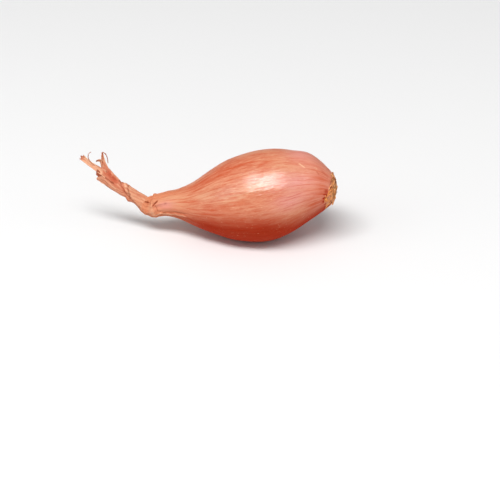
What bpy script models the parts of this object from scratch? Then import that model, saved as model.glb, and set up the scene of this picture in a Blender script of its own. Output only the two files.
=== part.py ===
"""A banana shallot lying on its side.

The bulb lies along X with its root end towards +X and slightly raised. Its dry neck is folded
up at the -X end, nipped by a twist halfway, and split into torn leaf ends. The origin is at the
small flat spot under the bulb that it rests on. Lengths are in millimetres and are scaled to
metres as each mesh is made.
"""

import math
import random

import bmesh
import bpy
import numpy as np
from mathutils import Vector

MM = 0.001

# Driving dimensions
BULB_DIAMETER = 42.4
REST_TILT = math.radians(8.0)
REST_FLAT_DEPTH = 0.35

# Distances along the spine, from the root end
ROOT_RIM_STATION = 1.0
TORN_EDGE_STATION = 2.4
EVEN_STATION = 9.0
FOLD_STATION = 88.0
KNOT_STATION = 101.5
SPLIT_STATION = 115.0
SPINE_ENDS = (-12.0, SPLIT_STATION + 14.0)

# Half the width across the spine at each distance, as shares of the bulb's radius
PROFILE = (
    (1.0, 0.340),
    (3.0, 0.448),
    (5.0, 0.535),
    (8.0, 0.625),
    (12.0, 0.717),
    (20.0, 0.887),
    (27.0, 0.976),
    (34.0, 1.000),
    (42.0, 0.953),
    (50.0, 0.858),
    (57.0, 0.710),
    (65.0, 0.519),
    (70.0, 0.406),
    (75.0, 0.310),
    (80.0, 0.250),
    (87.0, 0.228),
    (91.5, 0.158),
    (99.0, 0.137),
    (104.0, 0.127),
    (110.0, 0.146),
    (115.0, 0.170),
)

# How far the middle of the bulb stands off a straight spine, towards this angle from up to +Y
SHOULDER_ANGLE = math.radians(30.0)
SHOULDER = (
    (0.0, 0.8),
    (5.0, 2.2),
    (12.0, 2.5),
    (20.0, 1.8),
    (30.0, 0.6),
    (48.0, -0.2),
    (56.0, -0.5),
    (65.0, -0.8),
    (78.0, 0.6),
    (88.0, 0.4),
    (96.0, 0.0),
)

# A blunt knob on the shoulder, and a flatter stretch between it and the root: bells along it
# as (distance, length, height)
KNOBS = ((11.5, 4.2, 1.15), (4.0, 3.4, -0.75))
KNOB_ANGLE = math.radians(20.0)
KNOB_WIDTH = math.radians(38.0)

# The root end's face leans: its upper side stands out, by this much for each millimetre above
# the middle. The lean fades out between the two distances.
ROOT_LEAN = 0.11
ROOT_LEAN_FADE = (1.0, 14.0)

# Soft lobes that take the bulb out of round: (count round it, share of the radius, phase)
LOBES = ((2, 0.014, 0.5), (3, 0.010, -1.1), (5, 0.006, 0.0))
LOBE_FADE = (74.0, 90.0)

# The neck's angle above the horizontal at each distance, in degrees
NECK_RISE = ((83.0, 40.0), (94.0, 39.0), (101.0, 31.0), (106.0, 34.0), (111.0, 46.0), (115.0, 40.0))

# The neck's lean towards +Y, the twist of its skin, and the flat roll that it makes
NECK_LEAN = math.radians(9.0)
NECK_TWIST = math.radians(-85.0)
NECK_BROAD_ANGLE = math.radians(29.0)
NECK_FLATNESS = 0.52
NECK_FLATTENING = (FOLD_STATION - 5.0, FOLD_STATION + 5.0)
NECK_WALL_SHARE = 0.38
NECK_HOLLOW_DEPTH = 3.0
NECK_HOLLOW_TAPER = 0.8
FOLD_SPREAD = 3.8
LIP_STEP = 0.55
LIP_ANGLE = math.radians(223.5)
LIP_START = (70.0, 92.0)
KNOT_HEIGHT = 0.45
KNOT_SLANT = 2.3
SPLIT_TOOTH = 0.9

# Relief of the skin
RIB_COUNT = 18
RIB_HEIGHT = 0.13
RIB_START = (2.0, 14.0)
PLEAT_HEIGHT = 0.30
PLEAT_COUNTS = (7, 13)
PLEAT_STATION = 83.0
PLEAT_SPREAD = 10.0
CREASE_DEPTH = 0.55
CREASE_SPREAD = 4.2
SKIN_STEP = 0.40
TORN_TOOTH = 1.3
TORN_LIFT = 0.35

# Rings of the skin by the root: shares of the way to the torn edge, how far past the edge the
# skin still stands up and by what share, and shares of the way from there to the even skin
BARE_RINGS = (0.15, 0.6, 1.0)
TORN_ROLL = 0.9
TORN_ROLL_LIFT = 0.3
TORN_RINGS = (0.3, 0.65)

# Root plate and its dried roots
PLATE_RADIUS = 4.9
PLATE_GAP = 0.3
PLATE_DEPTH = 2.4
PLATE_DOME = 1.1
PLATE_COLUMNS = 28

# The plate's outline from its back to its face: (distance, share of its radius, how knobbly)
PLATE_OUTLINE = (
    (PLATE_DEPTH, 0.90, 0.0),
    (ROOT_RIM_STATION, 1.0, 0.0),
    (0.3, 1.0, 0.6),
    (-0.4, 0.88, 1.0),
    (-0.85, 0.60, 1.0),
    (-PLATE_DOME, 0.30, 0.6),
)
ROOT_COUNT = 64
ROOT_RADIUS = 0.42
ROOT_LENGTHS = (0.9, 2.3)
ROOT_SPREAD = 0.86
ROOT_SUNK = 0.6
ROOT_SHARES = (0.0, 0.4, 0.7, 1.0)
ROOT_TAPER = (1.15, 1.0, 0.85, 0.65)
ROOT_SIDES = 5
GOLDEN_ANGLE = math.radians(137.508)

# Mesh fineness, with the rings of the bulb's flank, fold and neck and the distances between them
COLUMNS = 72
SPINE_STEP = 0.25
FLANK_RINGS = 26
FOLD_RINGS = 14
NECK_RINGS = 16
FOLD_SPAN = (78.0, 94.0)

SKIN_COLOUR = (0.60, 0.21, 0.12, 1.0)
ROOT_COLOUR = (0.46, 0.29, 0.14, 1.0)


def clear_scene():
    for obj in list(bpy.data.objects):
        bpy.data.objects.remove(obj, do_unlink=True)


def material(name, colour, roughness):
    made = bpy.data.materials.new(name)
    made.use_nodes = True
    shader = made.node_tree.nodes["Principled BSDF"]
    shader.inputs["Base Color"].default_value = colour
    shader.inputs["Roughness"].default_value = roughness
    shader.inputs["Metallic"].default_value = 0.0
    return made


def eased(x, start, end):
    """0 before start, 1 after end, and a smooth step between."""
    share = np.clip((np.asarray(x, float) - start) / (end - start), 0.0, 1.0)
    return share * share * (3.0 - 2.0 * share)


def bump(x, centre, width):
    """A bell of height 1 round centre."""
    return np.exp(-(((np.asarray(x, float) - centre) / width) ** 2))


def along_curve(points, x):
    """A smooth curve through the points: cubic pieces with the slope at each point taken from
    its two neighbours."""
    px, py = np.array(points, float).T
    slope = np.gradient(py, px)
    x = np.clip(np.asarray(x, float), px[0], px[-1])
    i = np.clip(np.searchsorted(px, x, side="right") - 1, 0, len(px) - 2)
    width = px[i + 1] - px[i]
    s = (x - px[i]) / width
    return (
        (2 * s**3 - 3 * s**2 + 1) * py[i]
        + (s**3 - 2 * s**2 + s) * width * slope[i]
        + (3 * s**2 - 2 * s**3) * py[i + 1]
        + (s**3 - s**2) * width * slope[i + 1]
    )


def radius_at(station):
    return along_curve(PROFILE, station) * BULB_DIAMETER / 2


def pitch_at(station):
    """The spine's angle above the horizontal, looking from the root towards the neck. It drops by
    the rest tilt along the bulb, and turns up at the fold."""
    fold = eased(station, FOLD_STATION - FOLD_SPREAD, FOLD_STATION + FOLD_SPREAD)
    rise = np.radians(along_curve(NECK_RISE, station))
    return -REST_TILT + fold * (REST_TILT + rise)


def yaw_at(station):
    """The spine's turn away from the XZ plane, towards +Y."""
    return NECK_LEAN * eased(station, FOLD_STATION - FOLD_SPREAD, SPLIT_STATION)


def twist_at(station):
    """How far the skin has turned about the spine, as the neck is twisted."""
    return NECK_TWIST * eased(station, FOLD_STATION - 12.0, SPLIT_STATION + 4.0)


class Spine:
    """The centre line: straight through the bulb, then up through the neck. Its points are summed
    from its direction in short steps, and moved so that the rest spot is at the origin."""

    def __init__(self):
        first, last = SPINE_ENDS
        self.stations = np.arange(first, last + SPINE_STEP, SPINE_STEP)
        tangents = self.tangent(self.stations)
        steps = (tangents[1:] + tangents[:-1]) / 2 * SPINE_STEP
        self.points = np.vstack([np.zeros(3), np.cumsum(steps, axis=0)])
        self.points = self.points - self.lowest_skin() - np.array([0.0, 0.0, REST_FLAT_DEPTH])

    def tangent(self, station):
        pitch, yaw = pitch_at(station), yaw_at(station)
        return np.stack(
            [-np.cos(pitch) * np.cos(yaw), np.cos(pitch) * np.sin(yaw), np.sin(pitch)], axis=-1
        )

    def side(self, station):
        """The horizontal direction across the spine, which is +Y along the bulb."""
        yaw = yaw_at(station)
        return np.stack([np.sin(yaw), np.cos(yaw), np.zeros_like(yaw)], axis=-1)

    def up(self, station):
        return np.cross(self.side(station), self.tangent(station))

    def outward(self, station, angle):
        """The direction away from the spine, with the angle counted from up to +Y."""
        angle = np.asarray(angle, float)[..., None]
        return np.cos(angle) * self.up(station) + np.sin(angle) * self.side(station)

    def centre(self, station):
        """The middle of the section: on the spine in the neck, and off it along the bulb."""
        on_spine = np.stack([np.interp(station, self.stations, c) for c in self.points.T], axis=-1)
        off = np.asarray(along_curve(SHOULDER, station))[..., None]
        return on_spine + off * self.outward(station, SHOULDER_ANGLE)

    def point(self, station, radius, angle):
        """A place off the middle of the section. Near the root the sections lean."""
        lean = ROOT_LEAN * (1 - eased(station, *ROOT_LEAN_FADE)) * radius * np.cos(angle)
        out = self.outward(station, angle) * np.asarray(radius)[..., None]
        return self.centre(station) + out - self.tangent(station) * np.asarray(lean)[..., None]

    def lowest_skin(self):
        """The lowest place on the bulb's skin, searched on a fine grid."""
        station, angle = np.meshgrid(
            np.arange(25.0, 60.0, 0.5), np.radians(np.arange(150.0, 210.0, 1.0)), indexing="ij"
        )
        skin = self.point(station, section_radius(station, angle), angle)
        return skin.reshape(-1, 3)[np.argmin(skin[..., 2])]


def section_radius(station, angle, under_skin=0.0):
    """Distance from the middle of the section to the skin, at an angle fixed to the skin.

    The profile is taken out of round by soft lobes, ribbed lengthwise, and pleated towards the
    neck. In the neck the round becomes a flat roll whose free edge shows as a lip. under_skin is
    1 where the outer skin has torn away, and lowers the surface by its thickness."""
    in_neck = eased(station, *NECK_FLATTENING)
    on_bulb = 1 - eased(station, *LOBE_FADE)
    world_angle = angle + twist_at(station)

    lobes = sum(share * np.cos(count * angle + phase) for count, share, phase in LOBES)
    from_broad = world_angle - NECK_BROAD_ANGLE
    flatness = 1 - (1 - NECK_FLATNESS) * in_neck
    oval = flatness / np.sqrt((flatness * np.cos(from_broad)) ** 2 + np.sin(from_broad) ** 2)

    ribs = RIB_HEIGHT * np.cos(RIB_COUNT * angle + 0.8 * np.sin(2 * angle))
    ribs = ribs * eased(station, *RIB_START) * (1 - in_neck)
    wide, narrow = PLEAT_COUNTS
    pleats = np.cos(wide * angle + 0.06 * station) + np.cos(narrow * angle + 1.2 * np.sin(angle))
    pleats = PLEAT_HEIGHT / 2 * bump(station, PLEAT_STATION, PLEAT_SPREAD) * pleats
    round_from_lip = np.mod(angle - LIP_ANGLE, 2 * math.pi) / (2 * math.pi)
    lip = LIP_STEP * (round_from_lip - 0.5) * eased(station, *LIP_START)

    return (
        radius_at(station) * (1 + lobes * on_bulb) * oval
        + shoulder_knob(station, angle)
        + ribs
        + pleats
        + lip
        + fold_creases(station, world_angle)
        + knot(station, world_angle)
        - SKIN_STEP * under_skin
    )


def shoulder_knob(station, angle):
    """Height of the blunt knob: bells along it times one bell of the angle round."""
    along = sum(height * bump(station, place, length) for place, length, height in KNOBS)
    off = np.mod(angle - KNOB_ANGLE + math.pi, 2 * math.pi) - math.pi
    return along * bump(off, 0.0, KNOB_WIDTH)


def fold_creases(station, world_angle):
    """Crumples where the neck folds up: dents across the inside of the bend and on the -Y side."""
    inside = bump(np.cos(world_angle), 1.0, 0.55)
    facing = bump(np.sin(world_angle), -1.0, 0.5)
    across = np.cos((station - FOLD_STATION) * 1.35 + 0.9 * np.sin(2 * world_angle))
    near_fold = bump(station, FOLD_STATION, CREASE_SPREAD)
    return -CREASE_DEPTH * near_fold * across * (0.8 * inside + 0.7 * facing)


def knot(station, world_angle):
    """Halfway up, the roll is nipped along a slanting crease with the leaf bunched up before it."""
    past_crease = station - KNOT_STATION - KNOT_SLANT * np.cos(world_angle - NECK_BROAD_ANGLE)
    return KNOT_HEIGHT * (bump(past_crease, -1.3, 1.3) - 0.8 * bump(past_crease, 0.8, 1.1))


def ragged(count, seed, waves):
    """One value between about -1 and 1 for each column: slow waves with unequal teeth on them."""
    draw = random.Random(seed)
    turn = np.arange(count) * 2 * math.pi / count
    teeth = np.array([draw.uniform(-1.0, 1.0) for _ in range(count)])
    slow = sum(np.sin(n * turn + draw.uniform(0.0, 6.28)) for n in waves) / len(waves)
    return 0.55 * teeth + 0.45 * slow


def bulb_stations():
    """Spacing of the rings from the even station to the end of the neck: wide along the bulb's
    flank, closer at the fold and in the neck."""
    start, end = FOLD_SPAN
    flank = np.linspace(EVEN_STATION, start, FLANK_RINGS)
    fold = np.linspace(start, end, FOLD_RINGS + 1)[1:]
    neck = np.linspace(end, SPLIT_STATION - 1.0, NECK_RINGS + 1)[1:]
    return np.concatenate([flank, fold, neck])


def bridge(bm, rings):
    """Quads between each ring of vertices and the next."""
    for first, second in zip(rings, rings[1:]):
        for j in range(len(first)):
            k = (j + 1) % len(first)
            bm.faces.new((first[j], first[k], second[k], second[j]))


def close_pole(bm, ring, point, forwards):
    """A fan from the ring to one point. forwards is True at the end of a row of rings."""
    tip = bm.verts.new(Vector(point) * MM)
    for j in range(len(ring)):
        k = (j + 1) % len(ring)
        bm.faces.new((ring[j], ring[k], tip) if forwards else (ring[k], ring[j], tip))


def add_ring(bm, points):
    return [bm.verts.new(Vector(p) * MM) for p in points]


def bulb_mesh(spine):
    """The bulb and the rolled neck as one skin of rings, from the dish that holds the root plate
    to the hollow in the end of the neck, cut flat where it rests."""
    bm = bmesh.new()
    angle = np.arange(COLUMNS) * 2 * math.pi / COLUMNS
    edge = TORN_EDGE_STATION + TORN_TOOTH / 2 * ragged(COLUMNS, 3, (2, 5, 7))
    lift = TORN_LIFT * (0.5 + 0.5 * ragged(COLUMNS, 5, (3, 4, 8)))
    split = SPLIT_STATION + SPLIT_TOOTH * ragged(COLUMNS, 9, (1, 3))

    def ring(station, under_skin=0.0, lifted=0.0, share=1.0):
        station = np.broadcast_to(station, angle.shape).astype(float)
        radius = (section_radius(station, angle, under_skin) + lifted) * share
        return add_ring(bm, spine.point(station, radius, angle + twist_at(station)))

    def round_ring(station, radius):
        station = np.full(COLUMNS, station)
        return add_ring(bm, spine.point(station, np.full(COLUMNS, radius), angle))

    recess = PLATE_RADIUS + PLATE_GAP
    floor = PLATE_DEPTH + PLATE_GAP
    dish = [round_ring(floor, recess / 2), round_ring(floor, recess)]
    dish.append(round_ring(ROOT_RIM_STATION, recess))
    bare = [ring(ROOT_RIM_STATION + (edge - ROOT_RIM_STATION) * s, 1.0) for s in BARE_RINGS]
    flat = edge + TORN_ROLL
    torn = [ring(edge, 0.0, lift), ring(flat, 0.0, TORN_ROLL_LIFT * lift)]
    torn += [ring(flat + (EVEN_STATION - flat) * s) for s in TORN_RINGS]
    body = [ring(s) for s in bulb_stations()]
    inner = 1.0 - NECK_WALL_SHARE
    hollow = ring(SPLIT_STATION - NECK_HOLLOW_DEPTH, share=NECK_HOLLOW_TAPER * inner)
    end = [ring(split), ring(split - 0.1, share=inner), hollow]
    rings = dish + bare + torn + body + end
    bridge(bm, rings)
    close_pole(bm, rings[0], spine.centre(floor), forwards=False)
    close_pole(bm, rings[-1], spine.centre(SPLIT_STATION - NECK_HOLLOW_DEPTH), forwards=True)
    cut_rest_flat(bm)
    return to_mesh(bm, "bulb")


def cut_rest_flat(bm):
    """Takes off what lies under z = 0, and closes the cut with one flat face."""
    everything = bm.verts[:] + bm.edges[:] + bm.faces[:]
    cut = bmesh.ops.bisect_plane(
        bm, geom=everything, plane_co=(0, 0, 0), plane_no=(0, 0, 1), clear_inner=True
    )
    rim = [e for e in cut["geom_cut"] if isinstance(e, bmesh.types.BMEdge)]
    bmesh.ops.edgenet_fill(bm, edges=rim)


def to_mesh(bm, name):
    bmesh.ops.recalc_face_normals(bm, faces=bm.faces)
    mesh = bpy.data.meshes.new(name)
    bm.to_mesh(mesh)
    bm.free()
    return mesh


def add_object(name, mesh, collection):
    made = bpy.data.objects.new(name, mesh)
    collection.objects.link(made)
    return made


def sweep(name, path, widths, thicknesses, sides, facing, collection):
    """A blade or stem along the path: each section is an oval of the given width and thickness,
    with its width across both the path and the direction it faces."""
    path = np.array(path, float)
    along = np.gradient(path, axis=0)
    along = along / np.linalg.norm(along, axis=1)[:, None]
    across = np.cross(along, np.array(facing, float))
    across = across / np.linalg.norm(across, axis=1)[:, None]
    through = np.cross(along, across)
    turn = (np.arange(sides) + 0.5) * 2 * math.pi / sides
    bm = bmesh.new()
    rings = [
        add_ring(bm, p + np.outer(np.cos(turn) * w / 2, a) + np.outer(np.sin(turn) * t / 2, n))
        for p, a, n, w, t in zip(path, across, through, widths, thicknesses)
    ]
    bridge(bm, rings)
    bm.faces.new(rings[0][::-1])
    bm.faces.new(rings[-1])
    return add_object(name, to_mesh(bm, name), collection)


def smooth_path(points, count):
    """Evenly spaced places on a smooth curve through a few points chosen by hand."""
    points = np.array(points, float)
    reach = np.concatenate([[0.0], np.cumsum(np.linalg.norm(np.diff(points, axis=0), axis=1))])
    at = np.linspace(0, reach[-1], count)
    return np.stack([along_curve(np.column_stack([reach, c]), at) for c in points.T], axis=-1)


class LeafEnds:
    """The torn dry leaf ends that stand out of the split neck. Their paths are given from the end
    of the neck as (further along it, across its broad side, out of its flat side)."""

    def __init__(self, spine, collection):
        self.collection = collection
        self.base = spine.centre(SPLIT_STATION)
        self.along = spine.tangent(SPLIT_STATION)
        self.broad = spine.outward(SPLIT_STATION, NECK_BROAD_ANGLE)
        self.flat = spine.outward(SPLIT_STATION, NECK_BROAD_ANGLE - math.pi / 2)

    def blade(self, name, offsets, count, widths, thickness, sides=6):
        path = [self.base + a * self.along + b * self.broad + f * self.flat for a, b, f in offsets]
        spread = np.linspace(0.0, 1.0, len(widths))
        widths = np.interp(np.linspace(0.0, 1.0, count), spread, widths)
        thicknesses = np.full(count, thickness)
        sweep(name, smooth_path(path, count), widths, thicknesses, sides, self.flat, self.collection)

    def build(self):
        """One long strap with a forked tip, a broad torn one that ends in a hook and a spike, a
        short lower one, and two thin curled wisps."""
        strap = [(-6.0, 0.2, 0.2), (0.0, 0.25, 0.4), (2.3, 0.3, 0.5), (7.2, -0.3, 0.5), (11.3, -0.2, 0.2)]
        self.blade("long_strap", strap, 9, (2.2, 2.7, 2.3, 2.2, 2.4), 0.8)
        self.blade("strap_fork", [(9.6, 0.4, 0.3), (11.4, 0.5, 0.2), (12.6, 0.6, 0.1)], 4, (1.4, 0.9), 0.7)
        self.blade("strap_tip", [(9.6, -0.7, 0.3), (11.4, -0.8, 0.2), (13.0, -1.0, -0.2)], 4, (1.4, 0.8), 0.7)

        torn = [(-7.0, 1.3, 0.1), (-1.0, 2.0, 0.3), (1.5, 2.9, 0.3), (3.7, 4.0, 0.2)]
        self.blade("torn_strap", torn, 7, (3.6, 4.2, 3.2, 1.5), 0.8)
        hook = [(2.6, 3.6, 0.2), (4.2, 4.1, 0.2), (5.2, 3.8, 0.4), (5.9, 2.8, 0.6)]
        self.blade("hooked_tip", hook, 6, (1.5, 1.4, 0.7), 0.7)
        spike = [(2.6, 3.9, 0.1), (4.5, 5.5, -0.1), (6.0, 7.2, -0.3)]
        self.blade("spike", spike, 5, (1.5, 1.1, 0.7), 0.7)

        lower = [(-11.0, -1.6, 0.1), (-5.0, -2.3, 0.3), (-0.4, -2.9, 0.5)]
        self.blade("lower_strap", lower, 6, (1.6, 2.0, 1.7), 1.3)

        curl = [(-1.0, 1.1, 0.3), (3.3, 0.8, 0.7), (6.1, 0.6, 0.9), (8.4, 0.9, 0.9), (10.1, 1.7, 0.7)]
        curl += [(10.9, 3.2, 0.4), (10.5, 4.4, 0.1)]
        self.blade("curled_wisp", curl, 13, (0.7, 0.62), 0.62, sides=5)
        arch = [(5.2, 6.3, -0.2), (6.1, 7.5, -0.3), (5.0, 7.8, -0.5), (3.0, 7.0, -0.8), (1.0, 5.2, -1.0)]
        self.blade("arched_wisp", arch, 10, (0.7, 0.62), 0.62, sides=5)


def plate_mesh(spine):
    """The corky root plate: a shallow plug that sits in the bulb's end, with a knobbly dome."""
    bm = bmesh.new()
    angle = np.arange(PLATE_COLUMNS) * 2 * math.pi / PLATE_COLUMNS
    rings = []
    for station, share, rough in PLATE_OUTLINE:
        knobs = 0.22 * rough * np.cos(5 * angle + 3 * share) + 0.16 * rough * np.cos(9 * angle - 5 * share)
        radius = PLATE_RADIUS * share - np.abs(knobs)
        rings.append(add_ring(bm, spine.point(station + 0.6 * knobs, radius, angle)))
    bridge(bm, rings)
    close_pole(bm, rings[0], spine.centre(PLATE_DEPTH + 0.1), forwards=False)
    close_pole(bm, rings[-1], spine.centre(-PLATE_DOME - 0.1), forwards=True)
    return to_mesh(bm, "root_plate")


def dried_roots(spine, collection):
    """Short broken roots on the plate, spread by the golden angle and leaning outwards, more so
    towards the rim. The length and the curl of each are drawn from one seeded run."""
    draw = random.Random(7)
    outward = -spine.tangent(0.0)
    for k in range(ROOT_COUNT):
        reach = math.sqrt((k + 0.5) / ROOT_COUNT)
        turn = k * GOLDEN_ANGLE + draw.uniform(-0.15, 0.15)
        radial = spine.outward(0.0, turn)
        across = np.cross(radial, outward)
        lean = math.radians(25.0 + 45.0 * reach + draw.uniform(-12.0, 6.0))
        curl = draw.uniform(-0.6, 0.6)
        length = draw.uniform(*ROOT_LENGTHS) * (0.75 + 0.35 * reach)
        foot = spine.point(0.7 - 0.4 * reach, ROOT_SPREAD * PLATE_RADIUS * reach, turn)
        direction = math.cos(lean) * outward + math.sin(lean) * radial
        s = np.array(ROOT_SHARES)[:, None]
        path = foot + direction * (length + ROOT_SUNK) * s + across * curl * length * s * s
        widths = 2 * ROOT_RADIUS * draw.uniform(0.8, 1.15) * np.array(ROOT_TAPER)
        sweep(f"root_{k}", path, widths, widths, ROOT_SIDES, across, collection)


def fuse(target, collection):
    """Joins every object of the collection to the target by one Boolean union, and removes them."""
    joined = target.modifiers.new("union", "BOOLEAN")
    joined.operation = "UNION"
    joined.operand_type = "COLLECTION"
    joined.collection = collection
    joined.solver = "MANIFOLD"
    bpy.context.view_layer.update()
    graph = bpy.context.evaluated_depsgraph_get()
    whole = bpy.data.meshes.new_from_object(target.evaluated_get(graph))
    target.modifiers.clear()
    target.data = whole
    for obj in list(collection.objects):
        bpy.data.objects.remove(obj, do_unlink=True)
    bpy.data.collections.remove(collection)


def helper_collection(name):
    made = bpy.data.collections.new(name)
    bpy.context.scene.collection.children.link(made)
    return made


def finish(obj, look, sharp_angle):
    obj.data.materials.clear()
    obj.data.materials.append(look)
    obj.data.shade_smooth()
    obj.data.set_sharp_from_angle(angle=math.radians(sharp_angle))


def build_bulb(spine):
    bulb = add_object("bulb", bulb_mesh(spine), bpy.context.scene.collection)
    ends = helper_collection("leaf_ends")
    LeafEnds(spine, ends).build()
    fuse(bulb, ends)
    finish(bulb, material("papery_skin", SKIN_COLOUR, 0.38), 40.0)


def build_root_plate(spine):
    plate = add_object("root_plate", plate_mesh(spine), bpy.context.scene.collection)
    roots = helper_collection("dried_roots")
    dried_roots(spine, roots)
    fuse(plate, roots)
    finish(plate, material("dry_root", ROOT_COLOUR, 0.85), 30.0)


def main():
    clear_scene()
    spine = Spine()
    build_bulb(spine)
    build_root_plate(spine)


main()
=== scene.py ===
"""A banana shallot lying on its side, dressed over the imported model.

The pieces are the papery outer skin, the skin under it that shows at the torn root end, the dry
leaves rolled round the folded neck with their torn ends and wisps, the corky root plate, its
dried roots and the shreds of skin round it. Shapes are worked out in millimetres along the bulb's
own centre line, which starts at the root end, and scaled to metres as each mesh is made.
"""

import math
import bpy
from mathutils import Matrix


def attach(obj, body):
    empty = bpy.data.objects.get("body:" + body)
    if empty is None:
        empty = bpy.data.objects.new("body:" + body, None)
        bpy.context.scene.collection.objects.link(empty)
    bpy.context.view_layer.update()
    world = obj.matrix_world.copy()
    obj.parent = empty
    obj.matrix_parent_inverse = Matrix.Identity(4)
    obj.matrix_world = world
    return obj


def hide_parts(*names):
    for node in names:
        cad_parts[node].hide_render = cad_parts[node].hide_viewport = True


bl_info = {
    "name": "Banana shallot",
    "version": (1, 0, 0),
    "blender": (4, 5, 0),
    "location": "3D View > Sidebar > Shallot",
    "description": "Builds a banana shallot's skin, neck, root end and plain studio stage",
    "category": "Add Mesh",
}

import bpy
import numpy as np
from mathutils import Matrix, Vector

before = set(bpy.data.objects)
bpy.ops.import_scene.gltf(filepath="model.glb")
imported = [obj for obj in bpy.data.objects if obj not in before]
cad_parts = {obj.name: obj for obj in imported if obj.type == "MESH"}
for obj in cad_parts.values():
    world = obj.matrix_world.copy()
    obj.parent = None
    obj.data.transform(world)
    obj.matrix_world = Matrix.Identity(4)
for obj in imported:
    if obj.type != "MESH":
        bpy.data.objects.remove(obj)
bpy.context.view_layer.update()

MM = 0.001
TURN = 2 * math.pi

# Distances along the centre line from the root end
ROOT_RIM_STATION = 1.0
TORN_EDGE_STATION = 0.6
FOLD_STATION = 88.0
KNOT_STATION = 101.5
SPLIT_STATION = 115.0
SPINE_ENDS = (-12.0, SPLIT_STATION + 14.0)
SPINE_STEP = 0.25

REST_TILT = math.radians(8.0)
REST_FLAT_DEPTH = 0.35

# Half the width across the centre line at each distance, as shares of the bulb's radius
PROFILE = (
    (-0.3, 0.218), (0.3, 0.281), (1.0, 0.340), (3.0, 0.448), (5.0, 0.535), (8.0, 0.625),
    (12.0, 0.717), (20.0, 0.887), (27.0, 0.976), (34.0, 1.000), (42.0, 0.953), (50.0, 0.858),
    (57.0, 0.710), (65.0, 0.519), (70.0, 0.406), (75.0, 0.310), (80.0, 0.250), (87.0, 0.228),
    (91.5, 0.158), (99.0, 0.137), (104.0, 0.127), (110.0, 0.146), (115.0, 0.170),
)

# How far the middle of the bulb stands off the centre line, towards this angle from up to +Y
SHOULDER_ANGLE = math.radians(30.0)
SHOULDER = (
    (0.0, 0.8), (5.0, 2.2), (12.0, 2.5), (20.0, 1.8), (30.0, 0.6), (48.0, -0.2),
    (56.0, -0.5), (65.0, -0.8), (78.0, 0.6), (88.0, 0.4), (96.0, 0.0),
)

# Lobes that take the bulb out of round, as (waves round the turn, share of the radius, phase),
# and the distances between which they fade out towards the neck
LOBES = ((2, 0.014, 0.5), (3, 0.010, -1.1), (5, 0.006, 0.0))
LOBES_FADE = (74.0, 90.0)

# The neck's angle above the horizontal at each distance, in degrees
NECK_RISE = ((83.0, 40.0), (94.0, 39.0), (101.0, 31.0), (106.0, 34.0), (111.0, 46.0), (115.0, 40.0))

# How far the neck leans towards +Y and twists, where its broad side faces, its thickness as a
# share of its width, the depth of the hollow in its end, and half the length of its fold
NECK_LEAN = math.radians(9.0)
NECK_TWIST = math.radians(-85.0)
NECK_BROAD_ANGLE = math.radians(29.0)
NECK_FLATNESS = 0.52
NECK_HOLLOW_DEPTH = 3.0
FOLD_SPREAD = 3.8

# How far the neck's leaves lie off its roll, and the height of their fibres
LEAF_CLEARANCE = 0.22
FIBRE_HEIGHT = 0.35

# The lip where the roll's outer leaf ends, the knot's ridge and how far it slants, and the depth
# of the fold's creases and the height of the pleats before it, with their (distance, length)
LIP_STEP = 0.55
LIP_ANGLE = math.radians(223.5)
LIP_GROWTH = (70.0, 92.0)
KNOT_HEIGHT = 0.45
KNOT_SLANT = 2.3
CREASE_DEPTH = 0.55
PLEAT_HEIGHT = 0.30
PLEAT_PLACE = (83.0, 10.0)

# The root plate: its radius, the gap round it, its depth and dome, and where its hollow is
PLATE_RADIUS = 4.9
PLATE_GAP = 0.3
PLATE_DEPTH = 2.4
PLATE_DOME = 0.85
PLATE_HOLLOW_ANGLE = math.radians(150.0)

# Roots and shreds are spread round by the golden angle. The roots turn off the way outwards by the
# swirl in radians, on average, and their lengths are drawn between the two and then shortened,
# more towards the rim.
GOLDEN_ANGLE = math.radians(137.508)
ROOT_SWIRL = -1.05
ROOT_LENGTH = (1.6, 4.4)

# Shreds of skin: how long and how wide the orange ones and the paler slivers are, their
# thickness, and how far past the rim their tips may reach
SHRED_LENGTH = (1.6, 3.4)
SHRED_WIDTH = (0.16, 0.42)
SLIVER_LENGTH = (1.2, 2.4)
SLIVER_WIDTH = (0.16, 0.34)
SHRED_THICKNESS = 0.09
SHRED_REACH = 3.4

# The dome of torn skin and roots over the root end: its height from the rim, the distance gained
# for each millimetre up the skin, and the radius lost for each millimetre past the rim
DOME_HEIGHT = 1.55
COLLAR_RISE = 0.66
COLLAR_CLOSING = 0.86

# How deep the under skin lies below the outer one, and how unevenly it and the neck's end tore
UNDER_SKIN_DEPTH = 0.42
UNDER_SKIN_TEAR = 0.28
SPLIT_TEAR = 0.9

# The outer skin has torn farther back on the lower front, where it is nicked and frayed
TORN_SLANT = 1.2
TORN_SLANT_ANGLE = math.radians(-86.0)
NICK_COUNT = 40
NICK_SPAN = (1.0, 4.0)
NICK_ANGLE = math.radians(-118.0)
NICK_SPREAD = math.radians(38.0)

# A blunt knob on the shoulder, and a flatter stretch between it and the root: bells along it
# as (distance, length, height)
KNOBS = ((11.5, 4.2, 1.15), (4.0, 3.4, -0.75))
KNOB_ANGLE = math.radians(20.0)
KNOB_WIDTH = math.radians(38.0)

# The root end's face leans: its upper side stands out, by this much for each millimetre above
# the middle. The lean fades out between the two distances.
ROOT_LEAN = 0.11
ROOT_LEAN_FADE = (1.0, 14.0)

# Angles round the skin between which it is the side that lies down, with a soft start and end,
# and the distances between which that fades out. The shift, which grows towards the root between
# its two distances, is how much narrower that side is there.
# The skin is painted in deep red shade on that side.
LOW_SIDE = tuple(math.radians(a) for a in (80.0, 130.0, 250.0, 293.0))
LOW_SIDE_FADE = (60.0, 84.0)
LOW_SIDE_ROOT_SHIFT = math.radians(28.0)
LOW_SIDE_SHIFT_FADE = (34.0, 14.0)
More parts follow.
